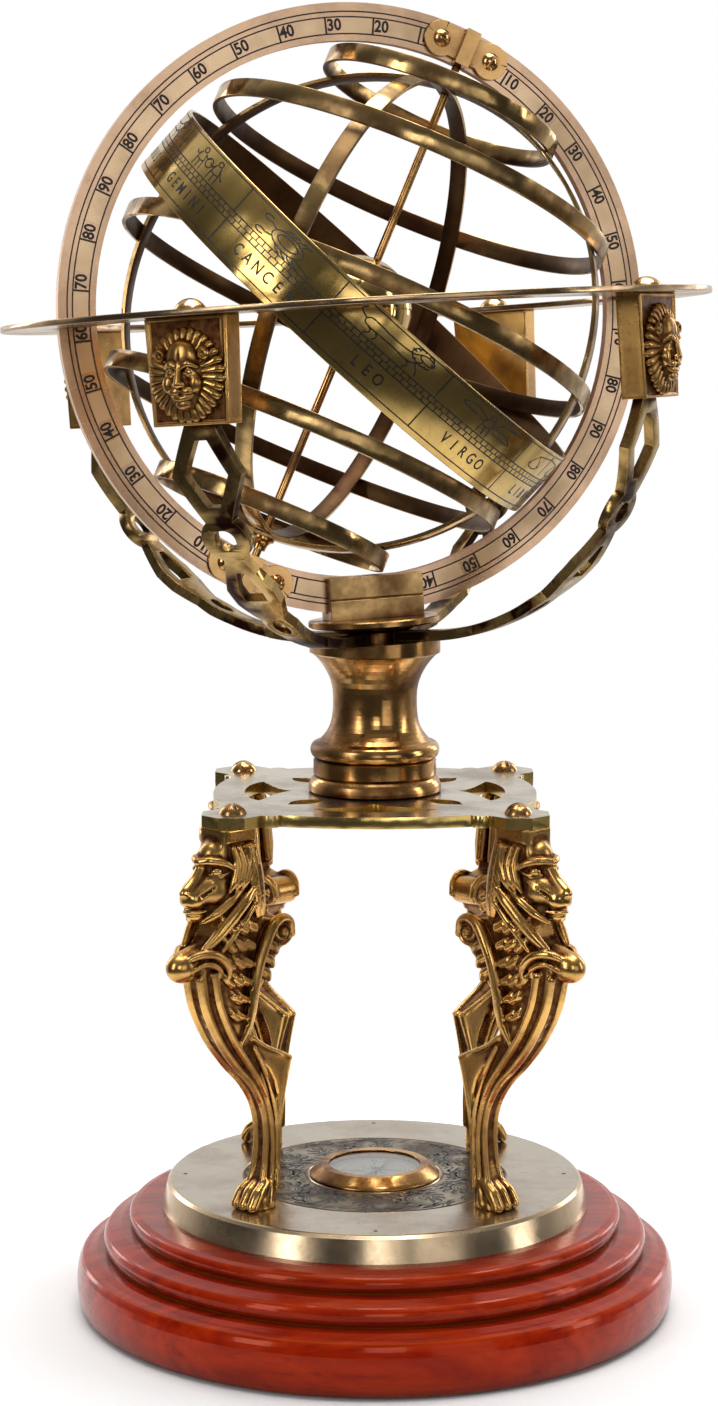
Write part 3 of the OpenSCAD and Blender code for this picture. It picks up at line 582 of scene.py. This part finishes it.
def lion_mask(clay, face, middle):
    """An oval mane cut into close straight locks, with a large smooth face; it looks along +X."""

    def at(x, y, z):
        return face + x, y, middle + z

    clay.ball(at(-0.6, 0, 0), (3.4, 13.2, 14.4), 0.3)
    count = 30
    for i in range(count):
        turn = 2 * math.pi * i / count
        for side, wide, height in ((0.0, 1.42, 0.1), (0.5, 0.5, 1.35)):
            a = turn + side * 2 * math.pi / count
            if math.sin(a) < -0.12:
                continue
            path = []
            for r in (0.5, 0.72, 0.9, 1.0):
                x = face + height + 2.4 * math.sqrt(max(0.05, 1 - (0.95 * r) ** 2))
                path.append((x, 12.5 * r * math.sin(a), middle + 13.8 * r * math.cos(a)))
            clay.tube(path, [wide * 0.6, wide * 0.8, wide, wide * 0.95], 0.15, cut=side > 0, smooth=2)
    # forehead, cheeks and muzzle as broad smooth forms
    clay.ball(at(1.6, 0, -0.2), (4.0, 7.2, 11.6), 0.3)
    clay.ball(at(3.2, 0, 5.6), (2.7, 5.2, 5.4), 0.8)
    clay.tube([at(6.1, 0, 9.4), at(6.3, 0, 4.0)], [0.4, 0.6], 0.4, cut=True)
    clay.tube([at(5.4, 1.0, 2.6), at(5.4, 3.2, 3.6), at(4.0, 5.8, 2.4)], [1.0, 1.1, 0.6], 0.35)
    clay.tube([at(5.4, 0, 3.4), at(6.1, 0, 0.2), at(6.5, 0, -2.6)], [1.0, 1.1, 1.5], 0.4)
    clay.ball(at(6.1, 1.4, -3.0), (1.0, 1.1, 0.9), 0.3)
    clay.ball(at(5.4, 3.4, 0.9), (1.3, 2.3, 1.4), 0.3, cut=True)
    clay.ball(at(4.4, 3.4, 0.8), (1.2, 1.9, 1.1), 0.12)
    for lid in (-1, 1):
        clay.tube([at(5.1, 1.4, 0.6), (face + 5.5, 3.4, middle + 0.8 + lid * 1.15), at(4.3, 5.4, 0.6)],
                  [0.3, 0.42, 0.3], 0.15)
    clay.ball(at(3.9, 4.8, -2.6), (1.9, 2.2, 3.0), 0.6)
    clay.ball(at(4.8, 2.0, -5.0), (1.6, 2.6, 1.5), 0.35)
    clay.tube([at(6.6, 0, -5.9), at(6.0, 2.2, -6.5), at(4.4, 4.3, -5.6)], [0.45, 0.5, 0.3], 0.2, cut=True)
    clay.tube([at(5.2, 0, -7.2), at(4.9, 2.0, -7.0), at(4.0, 3.8, -6.4)], [0.95, 0.9, 0.5], 0.2)
    clay.ball(at(3.8, 0, -9.0), (1.6, 2.8, 1.7), 0.4)
    clay.ball(at(3.2, 8.0, 6.6), (1.6, 1.9, 2.2), 0.2)
    clay.ball(at(4.4, 7.9, 6.4), (1.1, 1.0, 1.3), 0.2, cut=True)


# Sculpted pieces stop this far short of the level faces they meet.
GAP = 0.02


def make_leg_mesh():
    clay = Clay((31, 0, 44), (99, 14, 183), 0.46)
    leg_limbs(clay)
    leg_foliage(clay)
    lion_head(clay)
    clay.trim(FLOOR + GAP, TABLE - GAP)
    return clay.mesh("lion_leg")


def make_block_mesh():
    inner, depth, high, top, half = 104.5, 9.0, 34.4, 352.4, 15.2
    clay = Clay((inner - 1.5, 0, top - high - 1.5), (inner + 17, half + 1.5, top + 1.5),
                0.27)
    face = inner + depth
    front = face - 0.6
    low = top - high
    clay.plate([(inner, low), (front, low), (front, top), (inner, top)], [(low, half - 1.2), (top, half)],
               0.45, 0.3)
    rim = [(face - 0.7, y, z) for y, z in ((0, low + 0.6), (half - 1.8, low + 0.6), (half - 0.7, top - 0.7),
                                           (0, top - 0.7))]
    for a, b in zip(rim, rim[1:]):
        clay.tube([a, b], [0.55], 0.2, smooth=0)
    lion_mask(clay, front, top - high / 2 - 1.3)
    clay.trim(low + GAP, top - GAP)
    mesh = clay.mesh("lion_block")
    # the flat ground round the mask keeps its dark patina
    spots = np.empty(len(mesh.vertices) * 3, np.float32)
    mesh.vertices.foreach_get("co", spots)
    x, y, z = spots.reshape(-1, 3).T / MM
    relief = mesh.attributes["relief"].data
    value = np.empty(len(mesh.vertices), np.float32)
    relief.foreach_get("value", value)
    ground = (np.abs(x - face + 0.6) < 0.35) & (np.abs(y) < half - 2.6) & (z > low + 1.4) & (z < top - 1.4)
    relief.foreach_set("value", np.where(ground, 0.3, value).astype(np.float32))
    return mesh


# ---------------------------------------------------------------- engraving

class Ink:
    """Flat marks gathered into one mesh. seat(u, v) turns flat millimetres into a point, and
    letters keeps the outlines of words already drawn."""
    letters = {}

    def __init__(self):
        self.points = []
        self.faces = []

    def stroke(self, path, width, seat, taper=False, closed=False):
        path = [Vector(p) for p in path]
        count = len(path)
        first = len(self.points)
        for i, p in enumerate(path):
            ahead = path[(i + 1) % count] if closed or i + 1 < count else p
            behind = path[i - 1] if closed or i else p
            run = ahead - behind
            side = Vector((-run.y, run.x)).normalized() if run.length > 1e-9 else Vector((0, 1))
            half = width / 2
            if taper:
                t = i / max(1, count - 1)
                half *= max(0.12, math.sin(math.pi * min(1.0, 0.18 + t * 0.86)))
            self.points.append(seat(p.x + side.x * half, p.y + side.y * half))
            self.points.append(seat(p.x - side.x * half, p.y - side.y * half))
        for i in range(count if closed else count - 1):
            a, b = first + 2 * i, first + 2 * ((i + 1) % count)
            self.faces.append((a + 1, b + 1, b, a))

    def text(self, words, size, seat, stretch, bold, centre):
        key = (words, round(bold, 4))
        if key not in Ink.letters:
            curve = bpy.data.curves.new("letters", "FONT")
            curve.body = words
            curve.align_x = "CENTER"
            curve.align_y = "CENTER"
            curve.offset = bold
            curve.resolution_u = 3
            holder = bpy.data.objects.new("letters", curve)
            scene.collection.objects.link(holder)
            bpy.context.view_layer.update()
            shape = holder.evaluated_get(bpy.context.evaluated_depsgraph_get()).to_mesh()
            Ink.letters[key] = ([tuple(v.co) for v in shape.vertices],
                                [tuple(f.vertices) for f in shape.polygons])
            bpy.data.objects.remove(holder)
            bpy.data.curves.remove(curve)
        points, faces = Ink.letters[key]
        first = len(self.points)
        self.points += [seat(centre[0] + x * size * stretch, centre[1] + y * size) for x, y, _ in points]
        self.faces += [tuple(first + i for i in face) for face in faces]

    def patch(self, points):
        first = len(self.points)
        self.points += points
        self.faces.append(tuple(range(first, first + len(points))))

    def build(self, name, material, body, slot):
        mesh = bpy.data.meshes.new(name)
        mesh.from_pydata([tuple(MM * c for c in p) for p in self.points], [], self.faces)
        mesh.materials.append(material)
        piece = bpy.data.objects.new(name, mesh)
        scene.collection.objects.link(piece)
        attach(piece, body)
        return piece


def oval(x, y, rx, ry, start=0, sweep=360, count=18):
    return [(x + rx * math.cos(math.radians(start + sweep * i / count)),
             y + ry * math.sin(math.radians(start + sweep * i / count))) for i in range(count + 1)]


def bend(*points):
    return [tuple(p) for p in thread(points, 5)]


def person(x, lean=0.0, arm=1.0):
    """A small standing figure, as a list of paths."""
    foot = -3.6
    return [oval(x + lean, 3.0, 0.75, 0.85), bend((x + lean - 0.9, 2.1), (x - 1.3, 0), (x - 1.5, foot)),
            bend((x + lean + 0.9, 2.1), (x + 1.3, 0), (x + 1.5, foot)),
            bend((x, -0.6), (x, -2), (x + 0.1, foot)),
            bend((x + lean + 0.8, 1.7), (x + 2.2, 1.2 * arm), (x + 3.0, 2.4 * arm)),
            bend((x + lean - 0.8, 1.7), (x - 2.0, 0.4), (x - 2.8, 1.2)),
            bend((x - 1.3, -0.4), (x, -0.9), (x + 1.3, -0.4))]


def beast(tail=1.0, rear=True, head=True):
    """A four-legged animal facing right, as a list of paths."""
    paths = [bend((-6.6, 0.4), (-5.2, 1.8), (0, 1.5), (4.2, 2.0), (6.0, 3.6)),
             bend((-6.6, 0.4), (-5.6, -1.0), (0, -0.8), (4.6, -0.9), (6.8, 1.6)),
             bend((-6.5, 0.6), (-8.2, 1.6 * tail), (-7.6, 3.4 * tail), (-9.4, 3.8 * tail)),
             bend((4.2, -0.9), (4.8, -2.2), (4.2, -3.7)), bend((5.6, 0.2), (6.8, -1.6), (7.4, -3.4)),
             bend((8.4, 3.2), (8.9, 2.6), (8.6, 2.2))]
    if head:
        paths.append(oval(7.5, 3.0, 1.7, 1.1))
    if rear:
        paths += [bend((-5.4, -0.8), (-4.4, -2.0), (-5.4, -3.7)),
                  bend((-3.6, -0.8), (-2.8, -2.2), (-3.4, -3.7))]
    return paths


def zodiac_figures():
    """Twelve plain line figures, Aries first."""
    aries = beast(0.5) + [oval(6.6, 4.0, 1.2, 1.0, 0, 300), oval(6.6, 4.0, 0.5, 0.4, 0, 300)]
    taurus = beast()
    taurus += [bend((7.0, 4.0), (7.0, 5.0), (8.4, 5.2)), bend((8.0, 4.0), (9.0, 4.6), (9.6, 4.2)),
               bend((3.6, 1.2), (4.4, 0.2), (4.0, -0.8))]
    gemini = person(-3.2) + person(3.2, arm=-0.4) + [oval(0, 0.6, 1.2, 1.6)]
    cancer = [oval(0, 0, 4.0, 2.7), oval(0, 0.2, 2.6, 1.5), bend((2.4, -1.9), (5.6, -2.6), (7.4, -3.4))]
    for side in (-1, 1):
        cancer += [oval(-6.2, side * 2.4, 1.2, 0.8, 40, 280),
                   bend((-3.4, side * 1.2), (-4.6, side * 1.6), (-5.2, side * 2.0))]
        cancer += [bend((k, side * 2.4), (k + 0.7, side * 3.4), (k + 1.9, side * 3.9))
                   for k in (-2, -0.4, 1.2, 2.6)]
    leo = beast(1.2) + [oval(6.6, 2.8, 2.7, 2.3, 40, 280)]
    leo += [bend(*((6.6 + rx * math.cos(a), 2.8 + ry * math.sin(a)) for rx, ry in ((2.0, 1.7), (3.1, 2.6))))
            for a in np.linspace(1.2, 5.2, 8)]
    virgo = person(0, 0.3)
    virgo += [bend((3.0, 2.4), (4.2, 3.2), (6.4, 3.4)), oval(6.8, 3.6, 0.9, 0.4),
              bend((-1.2, 1.6), (-5, 3.2), (-8, 1.4), (-3.6, 0.6)),
              bend((1.2, 0.4), (5.4, 0.8), (8, -1.2), (2.4, -1.2))]
    libra = [bend((-6, 2.6), (0, 3.4), (6, 2.6)), bend((0, 3.4), (0, 0), (0, -3.4)), oval(0, 3.9, 0.5, 0.5)]
    for side in (-6, 6):
        left, right = (side - 2.4, -1.0), (side + 2.4, -1.0)
        libra += [oval(side, -1.0, 2.4, 1.4, 180, 180), [left, (side, 2.6), right], [left, right]]
    scorpio = [oval(-1.5, 0, 3.4, 1.7), bend((1.8, 0), (5, -1), (7.6, 0.6), (7.2, 3.2), (5.4, 3.4)),
               oval(4.9, 3.5, 0.6, 0.4)]
    for side in (-1, 1):
        scorpio += [bend((-4.6, side * 0.8), (-6.6, side * 1.4), (-7.2, side * 2.8)),
                    oval(-7.6, side * 3.2, 0.9, 0.6, 0, 300)]
        scorpio += [bend((k, side * 1.4), (k + 0.6, side * 2.6), (k - 0.2, side * 3.4))
                    for k in (-3, -1.5, 0)]
    archer = beast(head=False)
    archer += [oval(5.4, 4.6, 0.7, 0.7), bend((4.4, 1.8), (4.8, 3.2), (5.2, 4.0)),
               bend((8.6, 4.6), (10.2, 2.6), (8.8, 0.4)), [(4.6, 2.8), (11, 2.5)],
               [(8.6, 4.6), (6.4, 2.7), (8.8, 0.4)]]
    goat = beast(0.1, rear=False)
    goat += [bend((7.0, 4.0), (5.4, 5.0), (4.2, 4.2)),
             bend((-6.4, 0.6), (-9.4, -1.2), (-8.4, -3.4), (-6.2, -2.4)),
             bend((-6.2, -2.4), (-5.6, -3.8), (-4.6, -2.6)), bend((8.2, 2.0), (8.4, 1.2), (7.8, 0.8))]
    waterman = person(-3, 0.4) + [oval(1.4, 2.2, 1.6, 0.9, 20)]
    waterman += [bend((2.8 - k, 1.6 + k), (4.6 + k, 0.4), (4.4 + k, -2 + k), (7.4 + k, -3.4 + k))
                 for k in (-0.6, 0.0, 0.7)]
    fishes = [bend((-1.2, -1.4), (-0.4, 0.8), (0.4, -0.8), (1.2, 1.4))]
    for side in (-1, 1):
        fishes += [oval(side * 4.6, side * 1.4, 3.4, 1.2), oval(side * 2.3, side * 1.6, 0.25, 0.25)]
        fishes += [bend((side * 8, side * 1.4), (side * 9.6, side * tip)) for tip in (2.6, 0.2)]
    return [aries, taurus, gemini, cancer, leo, virgo, libra, scorpio, archer, goat, waterman, fishes]


# ---------------------------------------------------------------- frames of reference

joints = {joint["name"]: joint for joint in frame["joints"]}
CENTRE = Vector(joints["sphere_spin"]["pos_m"]) / MM
POLE = Vector(joints["sphere_spin"]["axis"]).normalized()
FRONT = Vector(joints["meridian_slide"]["axis"]).normalized()


def polar_axes():
    """Columns are X, Y and Z of the frame whose Z is the pole and whose -Y is the ring's front."""
    y = -FRONT
    z = (POLE - y * POLE.dot(y)).normalized()
    return Matrix((y.cross(z), y, z)).transposed()


POLAR = polar_axes()
BAND = POLAR @ Matrix.Rotation(math.radians(-45.5), 3, "Z") @ Matrix.Rotation(math.radians(23.5), 3, "Y")


def frame_matrix(turn):
    """Place in the leaned upper frame, turned about its upright, for a mesh in metres."""
    up = Matrix.Translation((0, 0, FRAME_Z * MM))
    return up @ LEAN @ up.inverted() @ Matrix.Rotation(math.radians(turn), 4, "Z")


# ---------------------------------------------------------------- pieces

def add_castings(cast):
    leg = make_leg_mesh()
    block = make_block_mesh()
    leg.materials.append(cast)
    block.materials.append(cast)
    corners = ("front_right", "back_right", "back_left", "front_left")
    for k, corner in enumerate(corners):
        piece = bpy.data.objects.new("lion_leg_" + corner, leg)
        piece.matrix_world = Matrix.Rotation(math.radians(-45 + 90 * k), 4, "Z")
        mask = bpy.data.objects.new("lion_mask_" + corner, block)
        mask.matrix_world = frame_matrix(ARM_TURN + 90 * k)
        for made, node in ((piece, "leg_" + corner), (mask, "lion_block_" + corner)):
            scene.collection.objects.link(made)
            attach(made, "stand")
            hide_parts(node)


def add_meridian_scale(ink, etched):
    """Ticks every 10 degrees with numbers from 0 at the poles to 90, on both faces."""
    marks, fields = Ink(), Ink()
    inner, track, outer = 94.6, 97.4, 100.2
    mark_lift, field_lift, rim_lift = 2.03, 2.02, 1.92
    for face in (1, -1):
        for i in range(36):
            def seat(x, y, turn=math.radians(10 * i), lift=mark_lift):
                up = Vector((face * math.sin(turn), 0, math.cos(turn)))
                right = Vector((face * math.cos(turn), 0, -math.sin(turn)))
                local = up * y + right * x + Vector((0, -face * lift, 0))
                return CENTRE + POLAR @ local
            marks.stroke([(0, inner), (0, outer)], 0.66, seat)
            value = 10 * min(i, abs(18 - i), 36 - i)
            if value:
                marks.text(str(value), 5.6, seat, 0.92, 0.03, (3.0, track))
            arc = [(track * math.sin(a), track * math.cos(a)) for a in np.radians(np.linspace(3.8, 9.6, 7))]
            fields.stroke(arc, 4.9, lambda x, y, s=seat: s(x, y, lift=field_lift))
        for r in (102.08, 100.26, 94.54):
            marks.stroke(oval(0, 0, r, r, count=180), 0.6, lambda x, y, s=seat: s(x, y, 0.0, rim_lift))
    marks.build("meridian_marks", ink, "meridian", "meridian_brass")
    fields.build("meridian_fields", etched, "meridian", "meridian_brass")


def add_zodiac_print(ink):
    """Twelve fields round the band, each with a figure, its name and a divided degree scale."""
    names = ("ARIES", "TAURUS", "GEMINI", "CANCER", "LEO", "VIRGO", "LIBRA", "SCORPIO", "SAGITTARIUS",
             "CAPRICORN", "AQUARIUS", "PISCES")
    radius = 88.2
    top, upper, between, lower, bottom = 11.4, 1.9, 0.15, -1.6, -10.4
    axis = BAND.col[2]
    nearest = Vector((0, -1, 0))
    nearest = BAND.transposed() @ (nearest - axis * nearest.dot(axis))
    front = math.degrees(math.atan2(nearest.y, nearest.x))
    marks = Ink()

    def seat(u, v):
        return CENTRE + BAND @ Vector((*around(radius + 0.04, u / radius), v))

    degree = radius * math.pi / 180
    start = (front - 125) * degree
    for v, width in ((top, 0.4), (upper, 0.42), (lower, 0.42), (bottom, 0.4), (between, 0.3)):
        marks.stroke([(start + degree * i * 2, v) for i in range(180)], width, seat, closed=True)
    for k, (name, figure) in enumerate(zip(names, zodiac_figures())):
        begin = start + 30 * k * degree
        centre = begin + 15 * degree
        for low, high in ((upper, top), (bottom, lower)):
            marks.stroke([(begin, low), (begin, high)], 0.5, seat)
        for i in range(15):
            for shift, low, high in ((0, lower, between), (1, between, upper)):
                at = begin + (2 * i + shift) * degree
                marks.stroke([(at, low), (at, high)], 0.42, seat)
        for path in figure:
            marks.stroke([(centre + x * 1.75, 6.2 + y * 1.02) for x, y in path], 0.46, seat)
        size, gap = 5.6, (4.8 if len(name) < 8 else 3.8)
        for i, letter in enumerate(name):
            marks.text(letter, size, seat, 0.85, 0.012, (centre + (i - (len(name) - 1) / 2) * gap, -5.8))
    marks.build("zodiac_engraving", ink, "sphere", "zodiac_brass")


def add_disc_engraving(ink, ground, high):
    """Scrolling leaves cut in black round the compass, and four small pins by the rim."""
    rng = random.Random(4)
    marks = Ink()
    lift = high + 0.03
    inner, outer = 24.7, 46.6

    def level(x, y):
        return Vector((x, y, lift))

    def seat(x, y):
        far = math.hypot(x, y)
        keep = min(max(far, inner + 0.1), outer - 0.1) / max(far, 1e-6)
        return level(x * keep, y * keep)

    for r, width in ((inner, 0.45), (outer, 0.5)):
        marks.stroke(oval(0, 0, r, r, count=120), width, level)
    count, scroll, shrink = 12, 9.0, 1.15
    for i in range(count):
        middle = 2 * math.pi * i / count
        out = Vector(around(1, middle))
        side = Vector((-out.y, out.x)) * (1 if i % 2 else -1)
        centre = out * (36.6 if i % 2 else 34.6)

        def spot(r, a):
            return centre + (out * math.cos(a) + side * math.sin(a)) * r

        def sprig(width, *places):
            marks.stroke(bend(*(spot(r, a) for r, a in places)), width, seat, taper=True)

        for offset, width in ((0.0, 1.25), (1.3, 0.6), (2.4, 0.5)):
            path = [spot(max(0.5, scroll - offset - shrink * a), a) for a in np.linspace(-0.6, 6.6, 40)]
            marks.stroke(path, width, seat, taper=True)
        for j in range(13):
            a = -0.4 + 0.52 * j
            r = scroll - shrink * a
            curl = 2.6 + 1.4 * rng.random()
            sprig(1.25, (r, a), (r + curl * 0.6, a + 0.16), (r + curl, a + 0.42), (r + curl * 0.8, a + 0.6))
            sprig(0.55, (r + 0.4, a + 0.2), (r + curl * 0.5, a + 0.36), (r + curl * 0.7, a + 0.5))
        for j in range(6):
            a = j * math.pi / 3
            sprig(0.8, (0.9, a), (1.9, a + 0.3), (2.4, a + 0.8))
        for edge in (26.0, 28.0, 43.4, 45.2):
            for j in range(4):
                b = middle + (j - 1.5 + 0.4 * rng.random()) * 2 * math.pi / count / 4
                bow = 1.4 * (1 if edge < 35 else -1)
                swirl = [around(edge, b), around(edge + bow, b + 0.05), around(edge + bow * 0.8, b + 0.11)]
                marks.stroke(bend(*swirl), 1.0, seat, taper=True)
    for k in range(4):
        pin = around(68, math.radians(-90 + 90 * k))
        marks.patch([level(*around(0.75, a, pin)) for a in np.linspace(0, 2 * math.pi, 12, endpoint=False)])
    marks.build("disc_engraving", ink, "stand", "disc_brass")
    field = Ink()
    band = (inner + outer) / 2
    field.stroke(oval(0, 0, band, band, count=120), outer - inner - 0.1,
                 lambda x, y: Vector((x, y, high + 0.015)))
    field.build("engraved_field", ground, "stand", "disc_brass")


def add_compass_card(ink, high):
    """A divided ring, an eight-pointed star and the four letters."""
    marks = Ink()
    rim, divisions, letters = 15.6, 13.9, 12.5

    def seat(x, y):
        return Vector((x, y, high + 0.02))

    for r, width in ((rim, 0.2), (divisions, 0.15), (11.2, 0.15), (4.2, 0.15)):
        marks.stroke(oval(0, 0, r, r, count=72), width, seat)
    for i in range(72):
        a = 2 * math.pi * i / 72
        inner = divisions if i % 6 else 13.3
        marks.stroke([around(inner, a), around(rim, a)], 0.16, seat)
    for i in range(8):
        a = math.pi * i / 4
        length, wide = (10.8, 1.7) if i % 2 == 0 else (7.6, 1.2)
        tip = around(length, a)
        marks.patch([seat(0, 0), seat(*tip), seat(*around(wide, a + math.pi / 4))])
        marks.stroke([around(wide, a - math.pi / 4), tip], 0.15, seat)
    for letter, turn in (("N", 90), ("E", 0), ("S", -90), ("W", 180)):
        marks.text(letter, 2.8, seat, 0.9, 0.01, around(letters, math.radians(turn)))
    marks.build("compass_card", ink, "stand", "dial")


def dress_frame(looks):
    """Gives each CAD node the look of its slot, and eases the sharp edges of the cut parts."""
    own = {"base_plate": "disc_brass", "saddle": "saddle_brass", "horizon_ring": "horizon_brass",
           "polar_rod": "antique_brass", "compass_bezel": "antique_brass", "globe": "globe_brass",
           "table_plate": "table_brass", "zodiac_band": "zodiac_brass", "wooden_base": "wood"}
    rings = ("solstitial_colure", "equinoctial_colure", "equator_ring", "north_tropic_ring",
             "south_tropic_ring", "north_polar_ring", "south_polar_ring")
    eased = ("saddle", "table_plate", "horizon_ring", "north_bracket", "south_bracket", "zodiac_band",
             "compass_bezel", *rings)
    for name, node in frame["nodes"].items():
        for place in node.material_slots:
            key = own.get(name, place.material.name.split(".")[0] if place.material else "antique_brass")
            if name in rings:
                key = "ring_brass"
            elif name.startswith("arm_"):
                key = "arm_brass"
            place.material = looks[key]
        if name in eased or name.startswith("arm_"):
            weld = node.modifiers.new("weld", "WELD")
            weld.merge_threshold = 0.000002
            ease = node.modifiers.new("ease", "BEVEL")
            ease.width = 0.00025
            ease.segments = 2
            ease.limit_method = "ANGLE"
            ease.angle_limit = math.radians(40)
            ease.harden_normals = True


def light_world():
    """White where the camera sees it. In reflections, a pale backdrop behind and a dim room in front."""
    world = bpy.data.worlds.new("studio")
    scene.world = world
    sky = Nodes(world)
    parts = []
    for axis, stops in (("Z", ((0.0, 0.10), (0.46, 0.04), (0.55, 0.03), (0.8, 0.10), (1.0, 0.30))),
                        ("Y", ((0.0, 0.0), (0.55, 0.0), (0.80, 0.62), (1.0, 0.80)))):
        way = sky.add("SeparateXYZ", {0: sky.add("TexCoord", out="Generated")}, out=axis)
        glow = sky.add("ValToRGB", {"Fac": sky.span(way, -1.0, 1.0)})
        ramp = glow.node.color_ramp.elements
        for _ in stops[2:]:
            ramp.new(0.5)
        for stop, (spot, shade) in zip(ramp, stops):
            stop.position = spot
            stop.color = (shade, shade * 0.98, shade * 0.96, 1)
        parts.append(glow)
    room = sky.tree.nodes["Background"]
    sky.put(room.inputs["Color"], sky.vector("ADD", *parts))
    plain = sky.add("Background", {"Color": (1, 1, 1)})
    mix = sky.add("MixShader", {"Fac": sky.add("LightPath", out="Is Camera Ray"), 1: room.outputs[0],
                                2: plain})
    sky.put(sky.tree.nodes["World Output"].inputs["Surface"], mix)


def lay_floor():
    """A pale floor that fades into the white surround."""
    look = Look("studio_floor")
    grain = look.noise(3, 2)
    far = look.vector("LENGTH", look.place())
    fade = look.add("MapRange", {"Value": far, "From Min": 0.42, "From Max": 0.2},
                    interpolation_type="SMOOTHSTEP")
    color = look.blend(grain, (0.86, 0.86, 0.86), (0.89, 0.89, 0.89))
    look.done(Base_Color=color, Roughness=0.9, Alpha=fade)
    mesh = bpy.data.meshes.new("studio_floor")
    count, radius, z = 48, 0.45, -0.0002
    rim = [(*around(radius, 2 * math.pi * i / count), z) for i in range(count)]
    mesh.from_pydata(rim, [], [tuple(range(count))])
    mesh.materials.append(look.material)
    floor = bpy.data.objects.new("studio_floor", mesh)
    scene.collection.objects.link(floor)
    floor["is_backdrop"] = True


def set_stage():
    """Area lights aimed at the middle of the object, and the camera."""
    light_world()
    lay_floor()
    target = Vector((0, 0, 0.25))
    # each light's place in metres, its width and height, and its radiance
    for name, spot, wide, tall, glow in (
            ("key", (-2.0, -1.9, 1.2), 0.7, 1.8, 5.0), ("window", (0.2, -3.0, 1.0), 0.8, 1.0, 3.2),
            ("front_right", (1.6, -2.5, 0.6), 1.3, 1.5, 0.95), ("side", (2.6, -0.3, 0.9), 0.5, 1.8, 4.5),
            ("top", (0.1, 0.2, 2.6), 2.0, 2.0, 6.6), ("back_left", (-1.9, 2.0, 1.0), 0.6, 1.6, 3.5),
            ("back_right", (1.9, 2.1, 1.0), 0.6, 1.6, 3.5)):
        data = bpy.data.lights.new(name, "AREA")
        data.shape = "RECTANGLE"
        data.size = wide
        data.size_y = tall
        data.energy = glow * math.pi * wide * tall
        lamp = bpy.data.objects.new(name, data)
        lamp.location = spot
        lamp.rotation_euler = (target - Vector(spot)).to_track_quat("-Z", "Y").to_euler()
        scene.collection.objects.link(lamp)
    data = bpy.data.cameras.new("camera")
    data.sensor_fit = "VERTICAL"
    data.sensor_height = 24
    data.lens = 51.12
    camera = bpy.data.objects.new("camera", data)
    camera.location = (-0.0056, -1.0459, 0.35197)
    camera.rotation_euler = (math.pi / 2 - 0.129, 0, 0)
    scene.collection.objects.link(camera)
    scene.camera = camera
    scene.view_settings.view_transform = "Standard"


# ---------------------------------------------------------------- build

brown = (0.040, 0.012, 0.005)
middle = CENTRE * MM
band_axis = (middle, BAND.col[2])
stand_axis = ((0, 0, 0), (0, 0, 1))
looks = {"wood": mahogany("mahogany"), "felt": felt("felt"), "dial": card("dial_card"),
         "glass": clear_glass("clear_glass")}
# each metal's light and dark color, its roughness, stain and hollow darkening (patina, and painted shade in
# corners), and what sets it apart
for name, light, dark, finish, apart in (
        ("disc_brass", (0.66, 0.50, 0.32), (0.20, 0.11, 0.05), (0.22, 0.3, 0.3),
         {"turned": stand_axis, "flat": (0.55, 0.49, 0.40)}),
        ("polished_brass", (0.70, 0.42, 0.17), (0.10, 0.03, 0.012), (0.18, 0.3, 0.7), {"reach": 0.003}),
        ("antique_brass", (0.64, 0.35, 0.12), (0.06, 0.012, 0.005), (0.18, 0.8, 0.9),
         {"reach": 0.006, "turned": stand_axis}),
        ("arm_brass", (0.46, 0.30, 0.11), (0.026, 0.007, 0.004), (0.22, 1.0, 0.9),
         {"reach": 0.008, "edge_wear_and_highlight": 0.6}),
        ("table_brass", (0.84, 0.60, 0.20), brown, (0.22, 0.35, 0.6), {"flat": (0.60, 0.53, 0.41)}),
        ("ring_brass", (0.60, 0.39, 0.16), (0.034, 0.010, 0.005), (0.18, 0.8, 0.4),
         {"reach": 0.006, "inside": middle}),
        ("cast_brass", (0.80, 0.46, 0.14), (0.060, 0.011, 0.005), (0.22, 0.6, 1.0), {"relief": True}),
        ("meridian_brass", (0.72, 0.48, 0.31), (0.30, 0.14, 0.07), (0.24, 0.25, 0.0),
         {"turned": (middle, -FRONT), "inside": middle}),
        ("horizon_brass", (0.56, 0.39, 0.22), (0.14, 0.05, 0.025), (0.22, 0.35, 0.4), {}),
        ("saddle_brass", (0.58, 0.37, 0.15), (0.09, 0.026, 0.012), (0.22, 0.8, 0.8), {}),
        ("globe_brass", (0.66, 0.44, 0.17), brown, (0.12, 0.3, 0.0), {}),
        ("zodiac_brass", (0.68, 0.46, 0.15), (0.06, 0.02, 0.01), (0.2, 0.2, 0.3),
         {"reach": 0.005, "turned": band_axis, "inside": middle}),
        ("steel", (0.55, 0.55, 0.56), (0.12, 0.12, 0.12), (0.28, 0.2, 0.5), {"reach": 0.003}),
        ("needle_steel", (0.30, 0.32, 0.36), (0.10, 0.10, 0.12), (0.25, 0.2, 0.3), {"reach": 0.002}),
        ("toned_brass", (0.34, 0.29, 0.20), (0.10, 0.06, 0.03), (0.28, 0.8, 0.6), {}),
        ("etched_brass", (0.84, 0.60, 0.37), (0.66, 0.44, 0.25), (0.32, 0.3, 0.0), {})):
    looks[name] = metal(name, light, dark, *finish, **apart)
wax = lacquer("black_wax", (0.008, 0.006, 0.005), 0.35)

set_stage()
dress_frame(looks)
add_castings(looks["cast_brass"])
add_meridian_scale(wax, looks["etched_brass"])
add_zodiac_print(wax)
add_disc_engraving(wax, looks["toned_brass"], FLOOR)
add_compass_card(wax, CARD)

sizes = [[list(corner) for corner in box] for box in (cad_box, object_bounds())]
